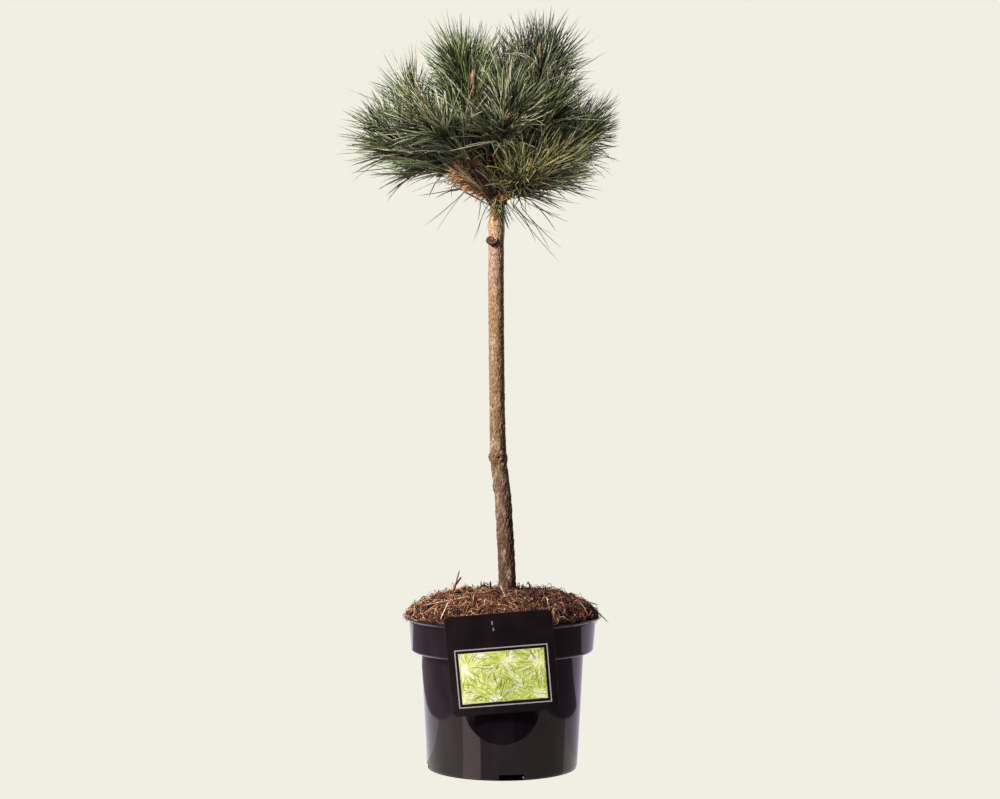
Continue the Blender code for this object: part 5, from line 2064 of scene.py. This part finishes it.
PANEL_STOPS = [
    (0.28, (0.400, 0.470, 0.070)),
    (0.38, (0.760, 0.810, 0.190)),
    (0.48, (0.920, 0.940, 0.430)),
    (0.60, (0.970, 0.975, 0.840)),
]
panel_ink = mottled_finish("panel_ink", 85.0, 8.0, PANEL_STOPS, 0.45)
panel_outline = round_rectangle(PANEL_WIDE, PANEL_TALL, PANEL_CORNER, PRINT_MIDDLE)
panel_mesh = plate_mesh("card_panel", panel_outline, print_low, print_high, panel_ink)
add_piece("card_panel", panel_mesh, "card")
print("panel:", PANEL_WIDE, "x", PANEL_TALL)

# %% Draw the strokes
STROKE_FINISHES = [
    plain_finish("ink_leaf", (0.340, 0.440, 0.050), 0.5, 0.2),
    plain_finish("ink_lime", (0.600, 0.680, 0.110), 0.5, 0.2),
    plain_finish("ink_lemon", (0.790, 0.800, 0.240), 0.5, 0.2),
    plain_finish("ink_cream", (0.880, 0.890, 0.680), 0.5, 0.2),
    plain_finish("ink_moss", (0.190, 0.260, 0.035), 0.5, 0.2),
]
STROKE_MIX = {0: 25, 1: 30, 2: 26, 3: 9, 4: 10}
FANS = (
    (-0.039, 0.012),
    (-0.024, -0.016),
    (0.004, 0.018),
    (0.018, -0.010),
    (0.041, 0.012),
    (0.036, -0.024),
    (-0.008, -0.028),
)
FAN_STROKES = 190
FAN_SPREAD = 0.0085
STROKE_LENGTHS = (0.008, 0.022)
STROKE_RADII = (0.0002, 0.0007)
STROKE_WIDTHS = (0.5, 0.9, 1.0, 0.9, 0.6)
STROKE_FLATNESS = 0.08
STROKE_TURN = 0.35
STROKE_CURL = 0.7
STROKE_LAYER = 2e-7
STROKE_MARGIN = 0.0008
STROKE_POINTS = 6
draw = np.random.default_rng(51)
centres = np.repeat(np.array(FANS), FAN_STROKES, axis=0)
count = len(centres)
starts = centres + draw.normal(0.0, FAN_SPREAD, (count, 2))
away = starts - centres
angles = np.arctan2(away[:, 1], away[:, 0])[:, None] + draw.normal(0.0, STROKE_TURN, (count, 1))
angles = angles + draw.uniform(-STROKE_CURL, STROKE_CURL, (count, 1)) * np.linspace(0.0, 1.0, STROKE_POINTS)
step = draw.uniform(*STROKE_LENGTHS, (count, 1)) / STROKE_POINTS
x = starts[:, :1] + np.cumsum(np.cos(angles) * step, axis=1)
y = starts[:, 1:] + np.cumsum(np.sin(angles) * step, axis=1)
half_wide, half_tall = PANEL_WIDE / 2 - STROKE_MARGIN, PANEL_TALL / 2 - STROKE_MARGIN
x = np.clip(x, -half_wide, half_wide) + PRINT_MIDDLE[0]
y = np.clip(y, -half_tall, half_tall) + PRINT_MIDDLE[1]
height = print_high + np.arange(count)[:, None] * STROKE_LAYER
flat_lines = np.stack([x, y, np.broadcast_to(height, x.shape)], axis=2)
face_way = np.tile([[0.0, 0.0, 1.0]], (count, 1))
stroke_radii = draw.uniform(*STROKE_RADII, count)
points, corners, _ = skinned(flat_lines, stroke_radii, STROKE_WIDTHS, face_way, STROKE_FLATNESS)
stand = np.array(CARD_STAND)
strands = (points @ stand[:3, :3].T + stand[:3, 3], corners, None)
strand_piece("card_strokes", "card", strands, dealt(STROKE_MIX, count, draw), STROKE_FINISHES, False)
print("strokes:", count)

# %% Paint the glint on the tongue's slit
# Each mark has the place of its middle on the card and half its height. The pale marks are a painted
# highlight on the edges of the tongue's slit.
MARK_WIDTH = 0.0016
MARK_CORNER = 0.0007
SLIT_MARKS = ((-0.0070, 0.0475, 0.0022), (-0.0062, 0.0400, 0.0018))
slit_glint_paint = plain_finish("slit_edge_glint", (0.230, 0.215, 0.225), 0.45)
for number, (x, y, size) in enumerate(SLIT_MARKS):
    outline = round_rectangle(MARK_WIDTH, 2 * size, MARK_CORNER, (x, y))
    mark = plate_mesh(f"slit_mark_{number}", outline, print_low, print_high, slit_glint_paint)
    add_piece(f"slit_mark_{number}", mark, "card")
print("slit marks:", len(SLIT_MARKS))

# %% [markdown]
# ## Finish
#
# The box of the finished plant is set beside the box of the plain solids, and the finished box is printed.

# %% Gather the sizes and finish
now_low, now_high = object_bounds()
sizes = {
    "cad": [[float(v) for v in cad_low], [float(v) for v in cad_high]],
    "visual": [[float(v) for v in now_low], [float(v) for v in now_high]],
}
print("visual box:", [round(v, 3) for v in now_low], [round(v, 3) for v in now_high])
